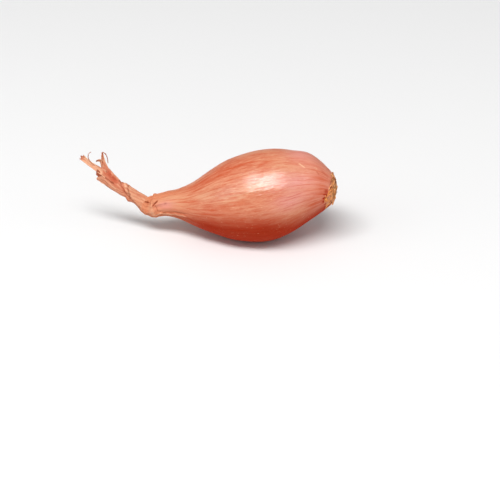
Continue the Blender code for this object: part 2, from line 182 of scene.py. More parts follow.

# Soft patches of the skin: distance, degrees from the neck's broad side, half length, half width
# The cream patch at distance 33 is a painted highlight, the pale lower-left lobe of the highlight.
CREAM_AND_HIGHLIGHT_PATCHES = (
    (57.0, -76.0, 9.0, 13.0), (45.0, -88.0, 10.0, 7.0), (74.0, -72.0, 11.0, 26.0),
    (33.0, -78.0, 10.0, 7.0), (24.0, -56.0, 6.0, 6.0),
)
PINK_PATCHES = (
    (13.5, -20.0, 6.5, 24.0), (18.0, -104.0, 8.0, 16.0), (16.0, -80.0, 9.0, 14.0),
    (14.0, 110.0, 8.0, 40.0), (79.0, -92.0, 4.5, 20.0),
)
DEEP_PATCHES = (
    (45.0, -42.0, 14.0, 14.0), (27.0, -50.0, 5.0, 6.0), (4.8, -100.0, 3.4, 46.0),
    (9.0, -124.0, 5.0, 14.0), (62.0, -44.0, 9.0, 14.0), (58.0, -106.0, 11.0, 9.0),
    (40.0, 100.0, 18.0, 30.0),
)
GLOSS_PATCHES = ((29.0, -74.0, 18.0, 26.0), (46.0, -80.0, 14.0, 16.0))


def number_setting(name, description, default, least, most, **kind):
    return bpy.props.FloatProperty(
        name=name, description=description, default=default, min=least, max=most, **kind
    )


def length_setting(name, description, default, least, most):
    """A length, with its default and its limits given in millimetres."""
    limits = (least * MM, most * MM)
    return number_setting(name, description, default * MM, *limits, precision=5, unit="LENGTH")


def colour_setting(name, description, default):
    return bpy.props.FloatVectorProperty(
        name=name, description=description, default=default, min=0.0, max=1.0, subtype="COLOR"
    )


def count_setting(name, description, default, most):
    return bpy.props.IntProperty(name=name, description=description, default=default, min=0, max=most)


class SkinSettings(bpy.types.PropertyGroup):
    """Sizes and colours of the outer skin and the skin under it."""

    diameter: length_setting("Bulb diameter", "Width of the bulb at its widest", 42.4, 20, 80)
    vein_count: count_setting("Veins", "Raised veins round the bulb", 70, 200)
    vein_height: length_setting("Vein height", "How far the tallest vein stands out", 0.045, 0.0, 0.5)
    torn_tooth: length_setting(
        "Torn edge depth", "How unevenly the outer skin has torn away round the root", 1.3, 0.0, 6
    )
    torn_lift: length_setting(
        "Torn edge lift", "How far the torn edge curls off the skin under it", 0.25, 0.0, 3
    )
    copper: colour_setting("Copper", "Main colour of the outer skin", (0.60, 0.172, 0.086))
    deep: colour_setting("Deep red", "Colour of the darker streaks", (0.55, 0.080, 0.028))
    # Also the colour of the painted highlight in one cream patch.
    cream: colour_setting(
        "Cream", "Palest colour of the skin, in soft patches and hair-thin streaks", (0.77, 0.45, 0.26)
    )
    # Painted shade: the deep red that darkens the side that lies down and the slits by the root; on the
    # under skin round the plate it is partly that skin's own deeper red and partly painted shade.
    shade_red: colour_setting("Belly", "Colour of the side that lies down", (0.38, 0.024, 0.003))
    peach: colour_setting("Peach", "Colour of the paler streaks", (0.69, 0.29, 0.165))
    blush: colour_setting("Blush", "Pinker colour towards the root end", (0.71, 0.285, 0.232))


class NeckSettings(bpy.types.PropertyGroup):
    """Sizes and colours of the dry leaves of the neck."""

    leaf_thickness: length_setting(
        "Leaf thickness", "Thickness of the dry leaves and straps", 0.20, 0.05, 1.0
    )
    wisp_radius: length_setting(
        "Wisp radius", "Half the thickness of the thin curled wisps", 0.30, 0.05, 1.0
    )
    leaf: colour_setting("Dry leaf", "Main colour of the dry leaves", (0.68, 0.255, 0.125))
    straw: colour_setting("Straw", "Pale colour of the leaf ends", (0.80, 0.44, 0.27))
    # Used for the leaves' dark spots, fibres and wisps, and as painted shade in the creases and hollows
    # and under the leaves
    crease: colour_setting("Crease", "Dark colour in creases and hollows", (0.34, 0.070, 0.024))


class RootSettings(bpy.types.PropertyGroup):
    """Sizes and colours of the root end."""

    root_count: count_setting("Dried roots", "Short dried roots on the root plate", 230, 1000)
    root_radius: length_setting(
        "Root radius", "Half the thickness of the stoutest dried root", 0.40, 0.05, 1.0
    )
    shred_count: count_setting("Skin shreds", "Torn slivers of skin round the root plate", 170, 1000)
    sliver_count: count_setting(
        "Frayed slivers", "Paler slivers on the frayed skin of the lower front", 36, 500
    )
    cork: colour_setting("Cork", "Colour of the root plate", (0.66, 0.31, 0.12))
    fibre: colour_setting(
        "Fibre", "Orange tan colour of the dried roots and torn skin", (0.86, 0.33, 0.09)
    )
    shard: colour_setting("Shard", "Pale yellow of the palest roots and slivers", (0.93, 0.53, 0.28))
    olive: colour_setting(
        "Olive", "Dull colour of the root plate's spots and rim", (0.24, 0.11, 0.03)
    )
    # Painted shade between the roots and shreds and on the plate behind them; the darkest roots take it
    # too.
    gap: colour_setting("Gap", "Dark brown colour between the roots", (0.16, 0.032, 0.012))


class StageSettings(bpy.types.PropertyGroup):
    """The floor, the lights and the camera."""

    floor_colour: colour_setting("Floor", "Colour of the floor", (0.86, 0.86, 0.86))
    key_power: number_setting(
        "Key light", "Power of the large soft light above the front", 23.0, 0.0, 500.0, unit="POWER"
    )
    room_light: number_setting(
        "Room light", "Strength of the even light from all round", 0.30, 0.0, 5.0
    )
    azimuth: number_setting(
        "Camera azimuth", "Angle of the camera round the shallot from its front",
        math.radians(6.0), -math.pi, math.pi, subtype="ANGLE",
    )
    elevation: number_setting(
        "Camera elevation", "Angle of the camera above the horizontal",
        math.radians(30.0), 0.0, math.pi / 2, subtype="ANGLE",
    )
    distance: length_setting(
        "Camera distance", "Distance of the camera from the middle of the bulb", 750, 200, 5000
    )


def settings(name):
    return getattr(bpy.context.scene, "shallot_" + name)


def eased(x, start, end):
    """0 before start, 1 after end, and between them 3 s^2 - 2 s^3 of the share s of the way."""
    share = np.clip((np.asarray(x, float) - start) / (end - start), 0.0, 1.0)
    return share * share * (3.0 - 2.0 * share)


def bump(x, centre, width):
    """A bell of height 1: e to the power of minus the square of the distance over the width."""
    return np.exp(-(((np.asarray(x, float) - centre) / width) ** 2))


def along_curve(points, x):
    """A smooth curve through the points: cubic pieces with the slope at each point taken from
    its two neighbours."""
    px, py = np.array(points, float).T
    slope = np.gradient(py, px)
    x = np.clip(np.asarray(x, float), px[0], px[-1])
    i = np.clip(np.searchsorted(px, x, side="right") - 1, 0, len(px) - 2)
    width = px[i + 1] - px[i]
    s = (x - px[i]) / width
    return (
        (2 * s**3 - 3 * s**2 + 1) * py[i]
        + (s**3 - 2 * s**2 + s) * width * slope[i]
        + (3 * s**2 - 2 * s**3) * py[i + 1]
        + (s**3 - s**2) * width * slope[i + 1]
    )


def smooth_path(points, count):
    """Evenly spaced places on a smooth curve through a few points: each coordinate is a smooth
    curve of the distance travelled."""
    points = np.array(points, float)
    reach = np.concatenate([[0.0], np.cumsum(np.linalg.norm(np.diff(points, axis=0), axis=1))])
    at = np.linspace(0, reach[-1], count)
    return np.stack([along_curve(np.column_stack([reach, c]), at) for c in points.T], axis=-1)


def unit(vectors):
    return vectors / np.maximum(np.linalg.norm(vectors, axis=-1, keepdims=True), 1e-12)


def even_angles(count):
    """This many angles, evenly round the turn from 0."""
    return np.arange(count) * TURN / count


def waves(angle, table):
    """The sum of the table's cosines, each as (waves round the turn, height, phase)."""
    return sum(height * np.cos(n * angle + phase) for n, height, phase in table)


def wrapped(angle):
    """The angle brought between minus half a turn and half a turn."""
    return np.mod(np.asarray(angle, float) + math.pi, TURN) - math.pi


def bulb_radius():
    return settings("skin").diameter / MM / 2


def radius_at(station):
    return along_curve(PROFILE, station) * bulb_radius()


def pitch_at(station):
    """The centre line's angle above the horizontal: minus the rest tilt along the bulb, and up
    at the neck's rise past the fold."""
    fold = eased(station, FOLD_STATION - FOLD_SPREAD, FOLD_STATION + FOLD_SPREAD)
    return -REST_TILT + fold * (REST_TILT + np.radians(along_curve(NECK_RISE, station)))


def yaw_at(station):
    return NECK_LEAN * eased(station, FOLD_STATION - FOLD_SPREAD, SPLIT_STATION)


def twist_at(station):
    return NECK_TWIST * eased(station, FOLD_STATION - 12.0, SPLIT_STATION + 4.0)


class Spine:
    """The centre line: straight through the bulb, then up through the neck. Its points are summed
    from its direction in short steps, and moved so that the rest spot is at the origin."""

    def __init__(self):
        first, last = SPINE_ENDS
        self.stations = np.arange(first, last + SPINE_STEP, SPINE_STEP)
        tangents = self.tangent(self.stations)
        steps = (tangents[1:] + tangents[:-1]) / 2 * SPINE_STEP
        self.points = np.vstack([np.zeros(3), np.cumsum(steps, axis=0)])
        self.points = self.points - self.lowest_skin() - np.array([0.0, 0.0, REST_FLAT_DEPTH])

    def tangent(self, station):
        """(-cos p cos y, cos p sin y, sin p) of the pitch p and the yaw y."""
        pitch, yaw = pitch_at(station), yaw_at(station)
        return np.stack(
            [-np.cos(pitch) * np.cos(yaw), np.cos(pitch) * np.sin(yaw), np.sin(pitch)], axis=-1
        )

    def side(self, station):
        """The horizontal direction across the centre line, which is +Y along the bulb."""
        yaw = yaw_at(station)
        return np.stack([np.sin(yaw), np.cos(yaw), np.zeros_like(yaw)], axis=-1)

    def up(self, station):
        return np.cross(self.side(station), self.tangent(station))

    def outward(self, station, angle):
        """The direction away from the centre line, with the angle counted from up to +Y."""
        angle = np.asarray(angle, float)[..., None]
        return np.cos(angle) * self.up(station) + np.sin(angle) * self.side(station)

    def centre(self, station):
        """The middle of the section: the centre line's point moved by the shoulder."""
        on_spine = np.stack([np.interp(station, self.stations, c) for c in self.points.T], axis=-1)
        off = np.asarray(along_curve(SHOULDER, station))[..., None]
        return on_spine + off * self.outward(station, SHOULDER_ANGLE)

    def point(self, station, radius, angle):
        """A place off the middle of the section. Near the root the sections lean."""
        lean = ROOT_LEAN * (1 - eased(station, *ROOT_LEAN_FADE)) * radius * np.cos(angle)
        out = self.outward(station, angle) * np.asarray(radius)[..., None]
        return self.centre(station) + out - self.tangent(station) * np.asarray(lean)[..., None]

    def lowest_skin(self):
        """The lowest place on the bulb's skin, searched on a fine grid."""
        station, angle = np.meshgrid(
            np.arange(25.0, 60.0, 0.5), np.radians(np.arange(150.0, 210.0, 1.0)), indexing="ij"
        )
        skin = self.point(station, section_radius(station, angle), angle)
        return skin.reshape(-1, 3)[np.argmin(skin[..., 2])]


def section_radius(station, angle):
    """Distance from the middle of the section to the solid's skin, at an angle fixed to the skin.

    The profile is taken out of round by soft lobes, and pleated towards the neck. In the neck the
    round becomes a flat roll with a lip."""
    in_neck = eased(station, FOLD_STATION - 5.0, FOLD_STATION + 5.0)
    lobes = waves(angle, LOBES) * (1 - eased(station, *LOBES_FADE))
    world_angle = angle + twist_at(station)
    from_broad = world_angle - NECK_BROAD_ANGLE
    flatness = 1 - (1 - NECK_FLATNESS) * in_neck
    oval = flatness / np.sqrt((flatness * np.cos(from_broad)) ** 2 + np.sin(from_broad) ** 2)
    pleats = waves(angle, ((7, 0.5, 0.06 * station), (13, 0.5, 1.2 * np.sin(angle))))
    lip = LIP_STEP * (np.mod(angle - LIP_ANGLE, TURN) / TURN - 0.5) * eased(station, *LIP_GROWTH)
    return (
        radius_at(station) * (1 + lobes) * oval
        + shoulder_knob(station, angle)
        + PLEAT_HEIGHT * bump(station, *PLEAT_PLACE) * pleats
        + lip
        + fold_creases(station, world_angle)
        + knot(station, world_angle)
    )


def fold_creases(station, world_angle):
    """Dents where the neck folds up: a cosine along the fold, inside the bend and on its -Y side."""
    inside = bump(np.cos(world_angle), 1.0, 0.55)
    facing = bump(np.sin(world_angle), -1.0, 0.5)
    across = np.cos((station - FOLD_STATION) * 1.35 + 0.9 * np.sin(2 * world_angle))
    return -CREASE_DEPTH * bump(station, FOLD_STATION, 4.2) * across * (0.8 * inside + 0.7 * facing)


def knot(station, world_angle):
    """A bunched ridge and then a nip, along a crease that slants round the roll."""
    past_crease = station - KNOT_STATION - KNOT_SLANT * np.cos(world_angle - NECK_BROAD_ANGLE)
    return KNOT_HEIGHT * (bump(past_crease, -1.3, 1.3) - 0.8 * bump(past_crease, 0.8, 1.1))


def jagged(angle, seed, teeth, slow_waves):
    """Uneven torn edge between about -1 and 1: straight lines between random heights at random
    angles round the turn, with a few slow waves added."""
    draw = np.random.default_rng(seed)
    at = np.sort(draw.uniform(0.0, TURN, teeth))
    height = draw.uniform(-1.0, 1.0, teeth)
    height[1::2] = -np.abs(height[1::2])
    height[0::2] = np.abs(height[0::2])
    tooth = np.interp(np.mod(angle, TURN), at, height, period=TURN)
    slow = sum(np.sin(n * angle + draw.uniform(0.0, TURN)) for n in slow_waves) / len(slow_waves)
    return 0.6 * tooth + 0.4 * slow


def veins(station, angle):
    """Relief of the lengthwise veins: the sum of narrow bells across the skin, each wandering a
    little as it runs from the root to the neck, on wider and lower waves round the turn."""
    skin = settings("skin")
    draw = np.random.default_rng(11)
    radius = radius_at(station)
    relief = np.zeros(np.broadcast(station, angle).shape)
    for k in range(skin.vein_count):
        at = (k + draw.uniform(-0.4, 0.4)) * TURN / skin.vein_count
        wander = 0.02 * np.sin(station / draw.uniform(7.0, 16.0) + draw.uniform(0.0, TURN))
        width = draw.uniform(0.3, 0.6) * (0.25 + 0.75 * radius / bulb_radius())
        height = draw.uniform(0.2, 1.0) ** 1.5 * skin.vein_height / MM
        away = wrapped(angle - at - wander) * radius
        relief = relief + height * bump(away, 0.0, width)
    for n, height in ((5, 0.03), (9, 0.02), (14, 0.013), (23, 0.009), (37, 0.006)):
        bend = 0.02 * n * np.sin(station / 13.0)
        relief = relief + height * np.sin(n * angle + bend + draw.uniform(0.0, TURN))
    return relief * eased(station, 1.0, 24.0) * (1 - 0.6 * eased(station, 84.0, 94.0))


def crinkles(station, angle):
    """Fine puckers towards the neck, and crumpled skin at the fold: sharp-topped waves round the
    turn that grow in from the flank to the fold, and waves along that slant and break up."""
    ridge = 1 - 2 * np.abs(np.sin(11.5 * angle + 0.9 * np.sin(3 * angle) + 0.05 * station))
    small = 1 - 2 * np.abs(np.sin(19.5 * angle + 1.3 * np.sin(2 * angle) - 0.07 * station))
    crumple = np.sin(2.4 * station + 2.2 * np.sin(2 * angle + 0.7)) * np.cos(4 * angle + 0.9 * station)
    puckers = 0.035 * bump(station, 84.0, 9.0) * ridge + 0.02 * bump(station, 88.0, 14.0) * small
    return puckers + 0.17 * bump(station, 87.5, 3.6) * crumple


# Creases and folds drawn on the skin. Each is a line of (distance, degrees from the neck's broad
# side), its half width, its height, and how much paler (above 0) or darker (below 0) it is. The
# darker lines at the fold, the knot and the neck's edges are painted shade in the creases and
# under the lips and leaves' edges.
STROKES = (
    # the fold, its creases painted in shade
    (((85.3, -90), (84.4, -80), (83.0, -67)), 0.36, -0.50, -1.1),
    (((91.0, -66), (89.7, -58)), 0.42, -0.45, -1.0),
    (((90.2, -52), (88.6, -64)), 0.36, -0.30, -0.6),
    (((88.0, -66), (86.0, -62), (84.4, -57)), 0.75, 0.40, 0.20),
    (((86.6, -88), (86.0, -106), (85.7, -124), (85.4, -142)), 1.10, 0.42, 0.42),
    (((84.1, -92), (83.5, -108), (83.2, -126)), 0.36, -0.28, -0.50),
    (((89.4, -74), (88.9, -86), (88.6, -98)), 0.40, -0.22, -0.30),
    (((88.4, -98), (87.8, -116), (87.2, -136)), 1.20, 0.12, 0.34),
    # the neck's base is fuller on top
    (((86.6, 0), (83.0, 0), (78.5, 0)), 2.40, 0.50, 0.0),
    # the crinkled edge under the neck's base, with painted shade along it
    (
        (
            (85.8, -160), (83.8, -152), (82.6, -142), (81.8, -134),
            (80.9, -147), (79.6, -150), (78.6, -142), (77.4, -147),
        ),
        0.55, 0.55, 0.80,
    ),
    (
        ((77.4, -147), (76.2, -139), (74.6, -131), (73.2, -135), (71.5, -128), (70.4, -128)),
        0.50, 0.45, 0.65,
    ),
    (((70.4, -128), (68.4, -126), (66.4, -123)), 0.45, 0.20, 0.22),
    (
        (
            (82.2, -127), (80.8, -137), (79.2, -132), (77.0, -131),
            (74.4, -124), (71.2, -120), (69.6, -119),
        ),
        0.40, -0.27, -0.55,
    ),
    (((84.0, -168), (80.0, -164), (74.0, -154), (68.0, -146)), 0.80, -0.30, -0.40),
    (((79.3, -86), (78.7, -85)), 0.60, -0.10, -0.45),
    (((75.5, -96), (69.0, -100)), 0.40, 0.08, 0.3),
    # scratches near the root
    (((13.5, -48), (11.5, -53.5)), 0.30, 0.10, 1.0),
    (((7.6, -50), (6.8, -49), (6.9, -53)), 0.24, 0.08, 0.55),
    (((6.8, -57), (5.9, -63)), 0.30, -0.10, -0.45),
    (((4.6, -52), (2.4, -58)), 0.55, -0.08, -0.35),
    (((3.0, -100), (3.2, -114), (3.9, -130)), 1.00, 0.0, -0.60),
    # short pale scars on the upper flank
    (((48.4, -36), (44.6, -34)), 0.26, 0.03, 0.42),
    (((42.6, -38), (39.8, -37)), 0.24, 0.03, 0.36),
    (((53.6, -47), (51.0, -46)), 0.24, 0.03, 0.34),
    (((55.2, -35), (52.6, -33)), 0.22, 0.03, 0.30),
    (((59.0, -62), (57.6, -61)), 0.24, 0.02, 0.36),
    # the knot: a pale band that crosses it between two creases painted in shade
    (((105.6, -6), (104.6, -30), (102.6, -66), (102.0, -84), (100.4, -108)), 0.40, -0.35, -0.60),
    (((103.6, -4), (102.5, -38), (100.8, -84)), 0.75, 0.30, 0.60),
    (((101.3, -104), (99.6, -116), (98.0, -136)), 0.55, -0.10, -0.55),
    (((106.4, -60), (104.6, -72)), 0.50, 0.10, 0.55),
    (((112.4, -122), (106.0, -130)), 0.50, 0.20, 0.60),
    (((101.8, -4), (101.0, -28), (99.4, -74), (98.8, -92)), 0.30, -0.28, -0.30),
    # the far side of the knot
    (((109.3, -88), (108.4, -84)), 0.48, -0.20, -1.2),
    (((115.6, -102), (112.0, -99), (109.0, -91)), 0.44, -0.30, -0.85),
    (((108.6, -92), (104.6, -100), (101.0, -112)), 0.40, -0.15, -0.35),
    (((112.6, -40), (108.0, -28)), 0.50, -0.10, -0.35),
    # the near leaf's lower edge, and the painted shadow that it casts
    (((91.6, -161), (95.2, -150), (97.3, -132), (98.9, -102), (99.4, -90)), 0.50, -0.30, -0.65),
    (((99.8, -24), (96.8, -28), (93.4, -52)), 0.45, -0.12, -0.30),
)


def stroke_fields(station, world_angle):
    """(relief, tint) of the drawn creases: for each, a bell of the distance to its line, measured
    over the skin in millimetres."""
    relief = np.zeros(np.broadcast(station, world_angle).shape)
    tint = np.zeros_like(relief)
    girth = np.maximum(radius_at(station), 2.0)
    for line, width, height, tone in STROKES:
        nearest = np.full(relief.shape, 1e9)
        for (s0, a0), (s1, a1) in zip(line, line[1:]):
            x = station - s0
            y = wrapped(world_angle - NECK_BROAD_ANGLE - math.radians(a0)) * girth
            dx, dy = s1 - s0, math.radians(a1 - a0) * girth
            share = np.clip((x * dx + y * dy) / (dx * dx + dy * dy), 0.0, 1.0)
            nearest = np.minimum(nearest, np.hypot(x - share * dx, y - share * dy))
        bell = bump(nearest, 0.0, width)
        relief = relief + height * bell
        tint = tint + tone * bell
    return relief, tint


def patches(station, world_angle, places):
    """Soft ovals between 0 and 1: each is a bell of the distance along times a bell of the angle
    round, and the strongest counts."""
    strength = np.zeros(np.broadcast(station, world_angle).shape)
    for s, degrees, length, width in places:
        off = wrapped(world_angle - NECK_BROAD_ANGLE - math.radians(degrees))
        patch = bump(station, s, length) * bump(off, 0.0, math.radians(width))
        strength = np.maximum(strength, patch)
    return strength


def lying_down(station, angle):
    """1 on the side that lies down, 0 on the upper side, fading out towards the neck: where the skin is
    painted in shade, rougher and less glossy.
    """
    shift = LOW_SIDE_ROOT_SHIFT * eased(station, *LOW_SIDE_SHIFT_FADE)
    turned = np.mod(angle, TURN)
    low = np.minimum(eased(turned, *LOW_SIDE[:2]), eased(turned + shift, *LOW_SIDE[:1:-1]))
    return low * (1 - eased(station, *LOW_SIDE_FADE))


def gloss(station, angle):
    """How polished the skin is: most in the gloss patches, some on the rest of the upper side, and
    least on the side that lies down, at the root end and on the neck."""
    polished = patches(station, angle + twist_at(station), GLOSS_PATCHES)
    off_ends = eased(station, 3.0, 12.0) * (1 - 0.75 * eased(station, 66.0, 82.0))
    return (0.08 + 0.92 * polished) * (1 - lying_down(station, angle)) * off_ends


def shoulder_knob(station, angle):
    """Height of the blunt knob: bells along it times one bell of the angle round."""
    along = sum(height * bump(station, place, length) for place, length, height in KNOBS)
    return along * bump(wrapped(angle - KNOB_ANGLE), 0.0, KNOB_WIDTH)


def nicks(station, angle):
    """Short torn nicks, below 0, and raised slivers, above 0, in the skin by the root: seeded
    narrow bells along the grain, two of every three a nick. As a tint, the nicks are painted
    shade in the slits."""
    draw = np.random.default_rng(41)
    marks = np.zeros(np.broadcast(station, angle).shape)
    for k in range(NICK_COUNT):
        place = draw.uniform(*NICK_SPAN)
        turned = NICK_ANGLE + NICK_SPREAD * draw.uniform(-1.0, 1.0)
        length, width = draw.uniform(0.7, 1.5), draw.uniform(0.16, 0.34)
        slant = draw.uniform(-0.06, 0.06) * (station - place)
        away = wrapped(angle - turned - slant) * radius_at(place)
        bell = bump(station, place, length) * bump(away, 0.0, width)
        marks = marks + (-1.1 if k % 3 else 0.55) * bell
    return marks


def skin_radius(station, angle):
    """Distance from the middle of the section to the visible outer skin."""
    relief, _ = stroke_fields(station, angle + twist_at(station))
    relief = relief + 0.13 * nicks(station, angle)
    return section_radius(station, angle) + veins(station, angle) + crinkles(station, angle) + relief


def torn_edge(angle):
    """Distance at which the outer skin has torn away round the root, with a jagged edge."""
    lower_front = bump(wrapped(angle - TORN_SLANT_ANGLE), 0.0, 0.85)
    tooth = settings("skin").torn_tooth / MM / 2 * (0.45 + lower_front)
    teeth = tooth * jagged(angle, seed=3, teeth=130, slow_waves=(2, 5, 7))
    return TORN_EDGE_STATION + TORN_SLANT * lower_front + teeth


def grain(station, angle):
    """Where a place lies in the skin's grain: round a circle of the bulb's radius, and along."""
    reach = bulb_radius()
    return np.stack([reach * np.cos(angle), reach * np.sin(angle), station + 0 * angle], axis=-1)


def quads(rows, columns, around):
    """Corner numbers of the faces between the rows of a grid of vertices. Where the grid goes
    around, the last column joins the first."""
    across = np.arange(columns if around else columns - 1)
    first = np.arange(rows - 1)[:, None] * columns + across
    beside = np.arange(rows - 1)[:, None] * columns + (across + 1) % columns
    return np.stack([first, beside, beside + columns, first + columns], axis=-1).reshape(-1, 4)


def closed_round(points, first_pole, last_pole):
    """Vertices and faces of a grid that goes around, whose first and last rows are closed onto
    the two poles."""
    rows, columns, _ = points.shape
    around = np.arange(columns)
    beside = (around + 1) % columns
    count = rows * columns
    first = np.stack([beside, around, np.full(columns, count)], axis=-1)
    last = np.stack([around, beside, np.full(columns, columns + 1)], axis=-1) + count - columns
    vertices = np.concatenate([points.reshape(-1, 3), [first_pole, last_pole]])
    return vertices, [quads(rows, columns, True), first, last]


def skin_values(station, angle, tint):
    """The per-vertex values that the skin's material reads, with the two poles' added."""
    world_angle = angle + twist_at(station)
    values = {
        "grain": grain(station, angle),
        "station": station,
        "tint": tint,
        "low_side": lying_down(station, angle),
        "cream": patches(station, world_angle, CREAM_AND_HIGHLIGHT_PATCHES),
        "pink": patches(station, world_angle, PINK_PATCHES),
        "deep": patches(station, world_angle, DEEP_PATCHES),
        "gloss": gloss(station, angle),
        "uv": np.stack([angle / TURN, station / SPLIT_STATION], axis=-1),
    }
    flat = {k: v.reshape((station.size,) + v.shape[2:]) for k, v in values.items()}
    return {k: np.concatenate([v, np.zeros((2,) + v.shape[1:])]) for k, v in flat.items()}


def add_piece(name, shape, values, material, node="bulb"):
    vertices, faces = shape
    mesh = bpy.data.meshes.new(name)
    mesh.from_pydata((vertices * MM).tolist(), [], [f for part in faces for f in part.tolist()])
    mesh.validate()
    for key, value in values.items():
        value = np.asarray(value, np.float32)
        if key == "uv":
            corners = np.empty(len(mesh.loops), np.int32)
            mesh.loops.foreach_get("vertex_index", corners)
            layer = mesh.uv_layers.new(name="skin_map")
            layer.uv.foreach_set("vector", value[corners].ravel())
            continue
        kind, field = ("FLOAT", "value") if value.ndim == 1 else ("FLOAT_VECTOR", "vector")
        mesh.attributes.new(key, kind, "POINT").data.foreach_set(field, value.ravel())
    mesh.shade_smooth()
    mesh.materials.append(material)
    piece = bpy.data.objects.new(name, mesh)
    bpy.context.scene.collection.objects.link(piece)
    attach(piece, "root")
    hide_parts(node)


def sheets(points, thickness):
    """Thin closed leaves. points is leaves x rows x columns x 3 for the outer faces; the inner
    faces lie the thickness under them against the surface's normal, and strips close the rim.
    Gives the vertices and the faces."""
    count, rows, columns, _ = points.shape
    down = np.gradient(points, axis=1)
    across = np.gradient(points, axis=2)
    normal = unit(np.cross(across, down))
    thickness = np.broadcast_to(np.asarray(thickness, float), (count, rows, columns))
    under = points - normal * thickness[..., None]
    each = rows * columns
    vertices = np.concatenate([points.reshape(count, each, 3), under.reshape(count, each, 3)], axis=1)
    top = quads(rows, columns, False)
    numbers = np.arange(each).reshape(rows, columns)
    rim = np.concatenate([numbers[0, :-1], numbers[:-1, -1], numbers[-1, :0:-1], numbers[:0:-1, 0]])
    after = np.roll(rim, -1)
    side = np.stack([after, rim, rim + each, after + each], axis=-1)
    one = np.concatenate([top, top[:, ::-1] + each, side])
    faces = (np.arange(count)[:, None, None] * 2 * each + one).reshape(-1, 4)
    return vertices.reshape(-1, 3), [faces]


def both_faces(value, grid, parts=()):
    """A value given over a grid of leaves x rows x columns, one for each vertex that sheets makes:
    the inner face of each leaf takes the outer one's."""
    value = np.broadcast_to(value, grid + parts).reshape(grid[0], 1, -1, *parts)
    return np.repeat(value, 2, axis=1).reshape(-1, *parts)


def tubes(path, across, radius, sides, flatness=1.0):
    """Closed stems. path is stems x rows x 3, and each section is an oval of the row's radius,
    narrowed by the flatness across the second direction. Gives the vertices and the faces."""
    count, rows, _ = path.shape
    along = unit(np.gradient(path, axis=1))
    across = unit(across - along * np.sum(across * along, axis=-1, keepdims=True))
    through = np.cross(along, across) * flatness
    turn = even_angles(sides)[:, None]
    ring = across[:, :, None] * np.cos(turn) + through[:, :, None] * np.sin(turn)
    each = rows * sides
    vertices = (path[:, :, None] + ring * np.asarray(radius)[..., None, None]).reshape(-1, 3)
    offsets = np.arange(count)[:, None, None] * each
    walls = (offsets + quads(rows, sides, True)).reshape(-1, 4)
    start = (offsets[:, 0] + np.arange(sides)[::-1]).reshape(-1, sides)
    end = (offsets[:, 0] + each - sides + np.arange(sides)).reshape(-1, sides)
    return vertices, [walls, start, end]


def tube_map(count, rows, sides):
    """For each vertex that tubes makes, its share of the way round and along its stem."""
    along, around = np.meshgrid(np.linspace(0, 1, rows), np.arange(sides) / sides, indexing="ij")
    return np.tile(np.stack([around, along], -1).reshape(-1, 2), (count, 1))


class Nodes:
    """A material's nodes, added one by one. An input is a number, a colour or another's socket."""

    def __init__(self, name):
        self.material = bpy.data.materials.new(name)
        self.material.use_nodes = True
        self.tree = self.material.node_tree

    def add(self, kind, inputs, output=0, **choices):
        node = self.tree.nodes.new("ShaderNode" + kind)
        for key, value in choices.items():
            setattr(node, key, value)
        for key, value in inputs.items():
            self.feed(node.inputs[key], value)
        return node.outputs[output]

    def feed(self, socket, value):
        if isinstance(value, bpy.types.NodeSocket):
            self.tree.links.new(value, socket)
        elif isinstance(value, (int, float)):
            socket.default_value = value
        else:
            value = tuple(value)
            socket.default_value = value + (1.0,) if len(socket.default_value) > len(value) else value

    def finished(self, **inputs):
        """The material, with these inputs given to its shader."""
        for key, value in inputs.items():
            self.feed(self.tree.nodes["Principled BSDF"].inputs[key.replace("_", " ")], value)
        return self.material

    def attribute(self, name, output="Fac"):
        return self.add("Attribute", {}, output, attribute_name=name)

    def plus(self, a, b):
        return self.add("Math", {0: a, 1: b}, operation="ADD")

    def times(self, a, b):
        return self.add("Math", {0: a, 1: b}, operation="MULTIPLY")

    def noise(self, vector, scale, detail=2.0, rough=0.5):
        """Noise between 0 and 1. scale is its cycles for each unit of the vector, in each
        direction."""
        stretched = self.add("VectorMath", {0: vector, 1: scale}, operation="MULTIPLY")
        inputs = {"Vector": stretched, "Scale": 1.0, "Detail": detail, "Roughness": rough}
        return self.add("TexNoise", inputs)

    def grain_noises(self, table):
        """Noises in the skin's grain, each as (cycles a millimetre across the grain, along it,
        detail, roughness)."""
        place = self.attribute("grain", "Vector")
        return [self.noise(place, (across, across, along), *rest) for across, along, *rest in table]

    def spread(self, value, low, high, to_low=0.0, to_high=1.0):
        """The value's range from low to high taken to the new range, smoothly, and held there."""
        inputs = {"Value": value, 1: low, 2: high, 3: to_low, 4: to_high}
        return self.add("MapRange", inputs, interpolation_type="SMOOTHSTEP")

    def layered(self, colour, layers):
        """The colour with each (share, colour) of the layers mixed over what is before it."""
        for share, over in layers:
            colour = self.add("Mix", {0: share, 6: colour, 7: over}, 2, data_type="RGBA")
        return colour

    def relief(self, height, distance, strength):
        return self.add("Bump", {"Height": height, "Distance": distance, "Strength": strength})


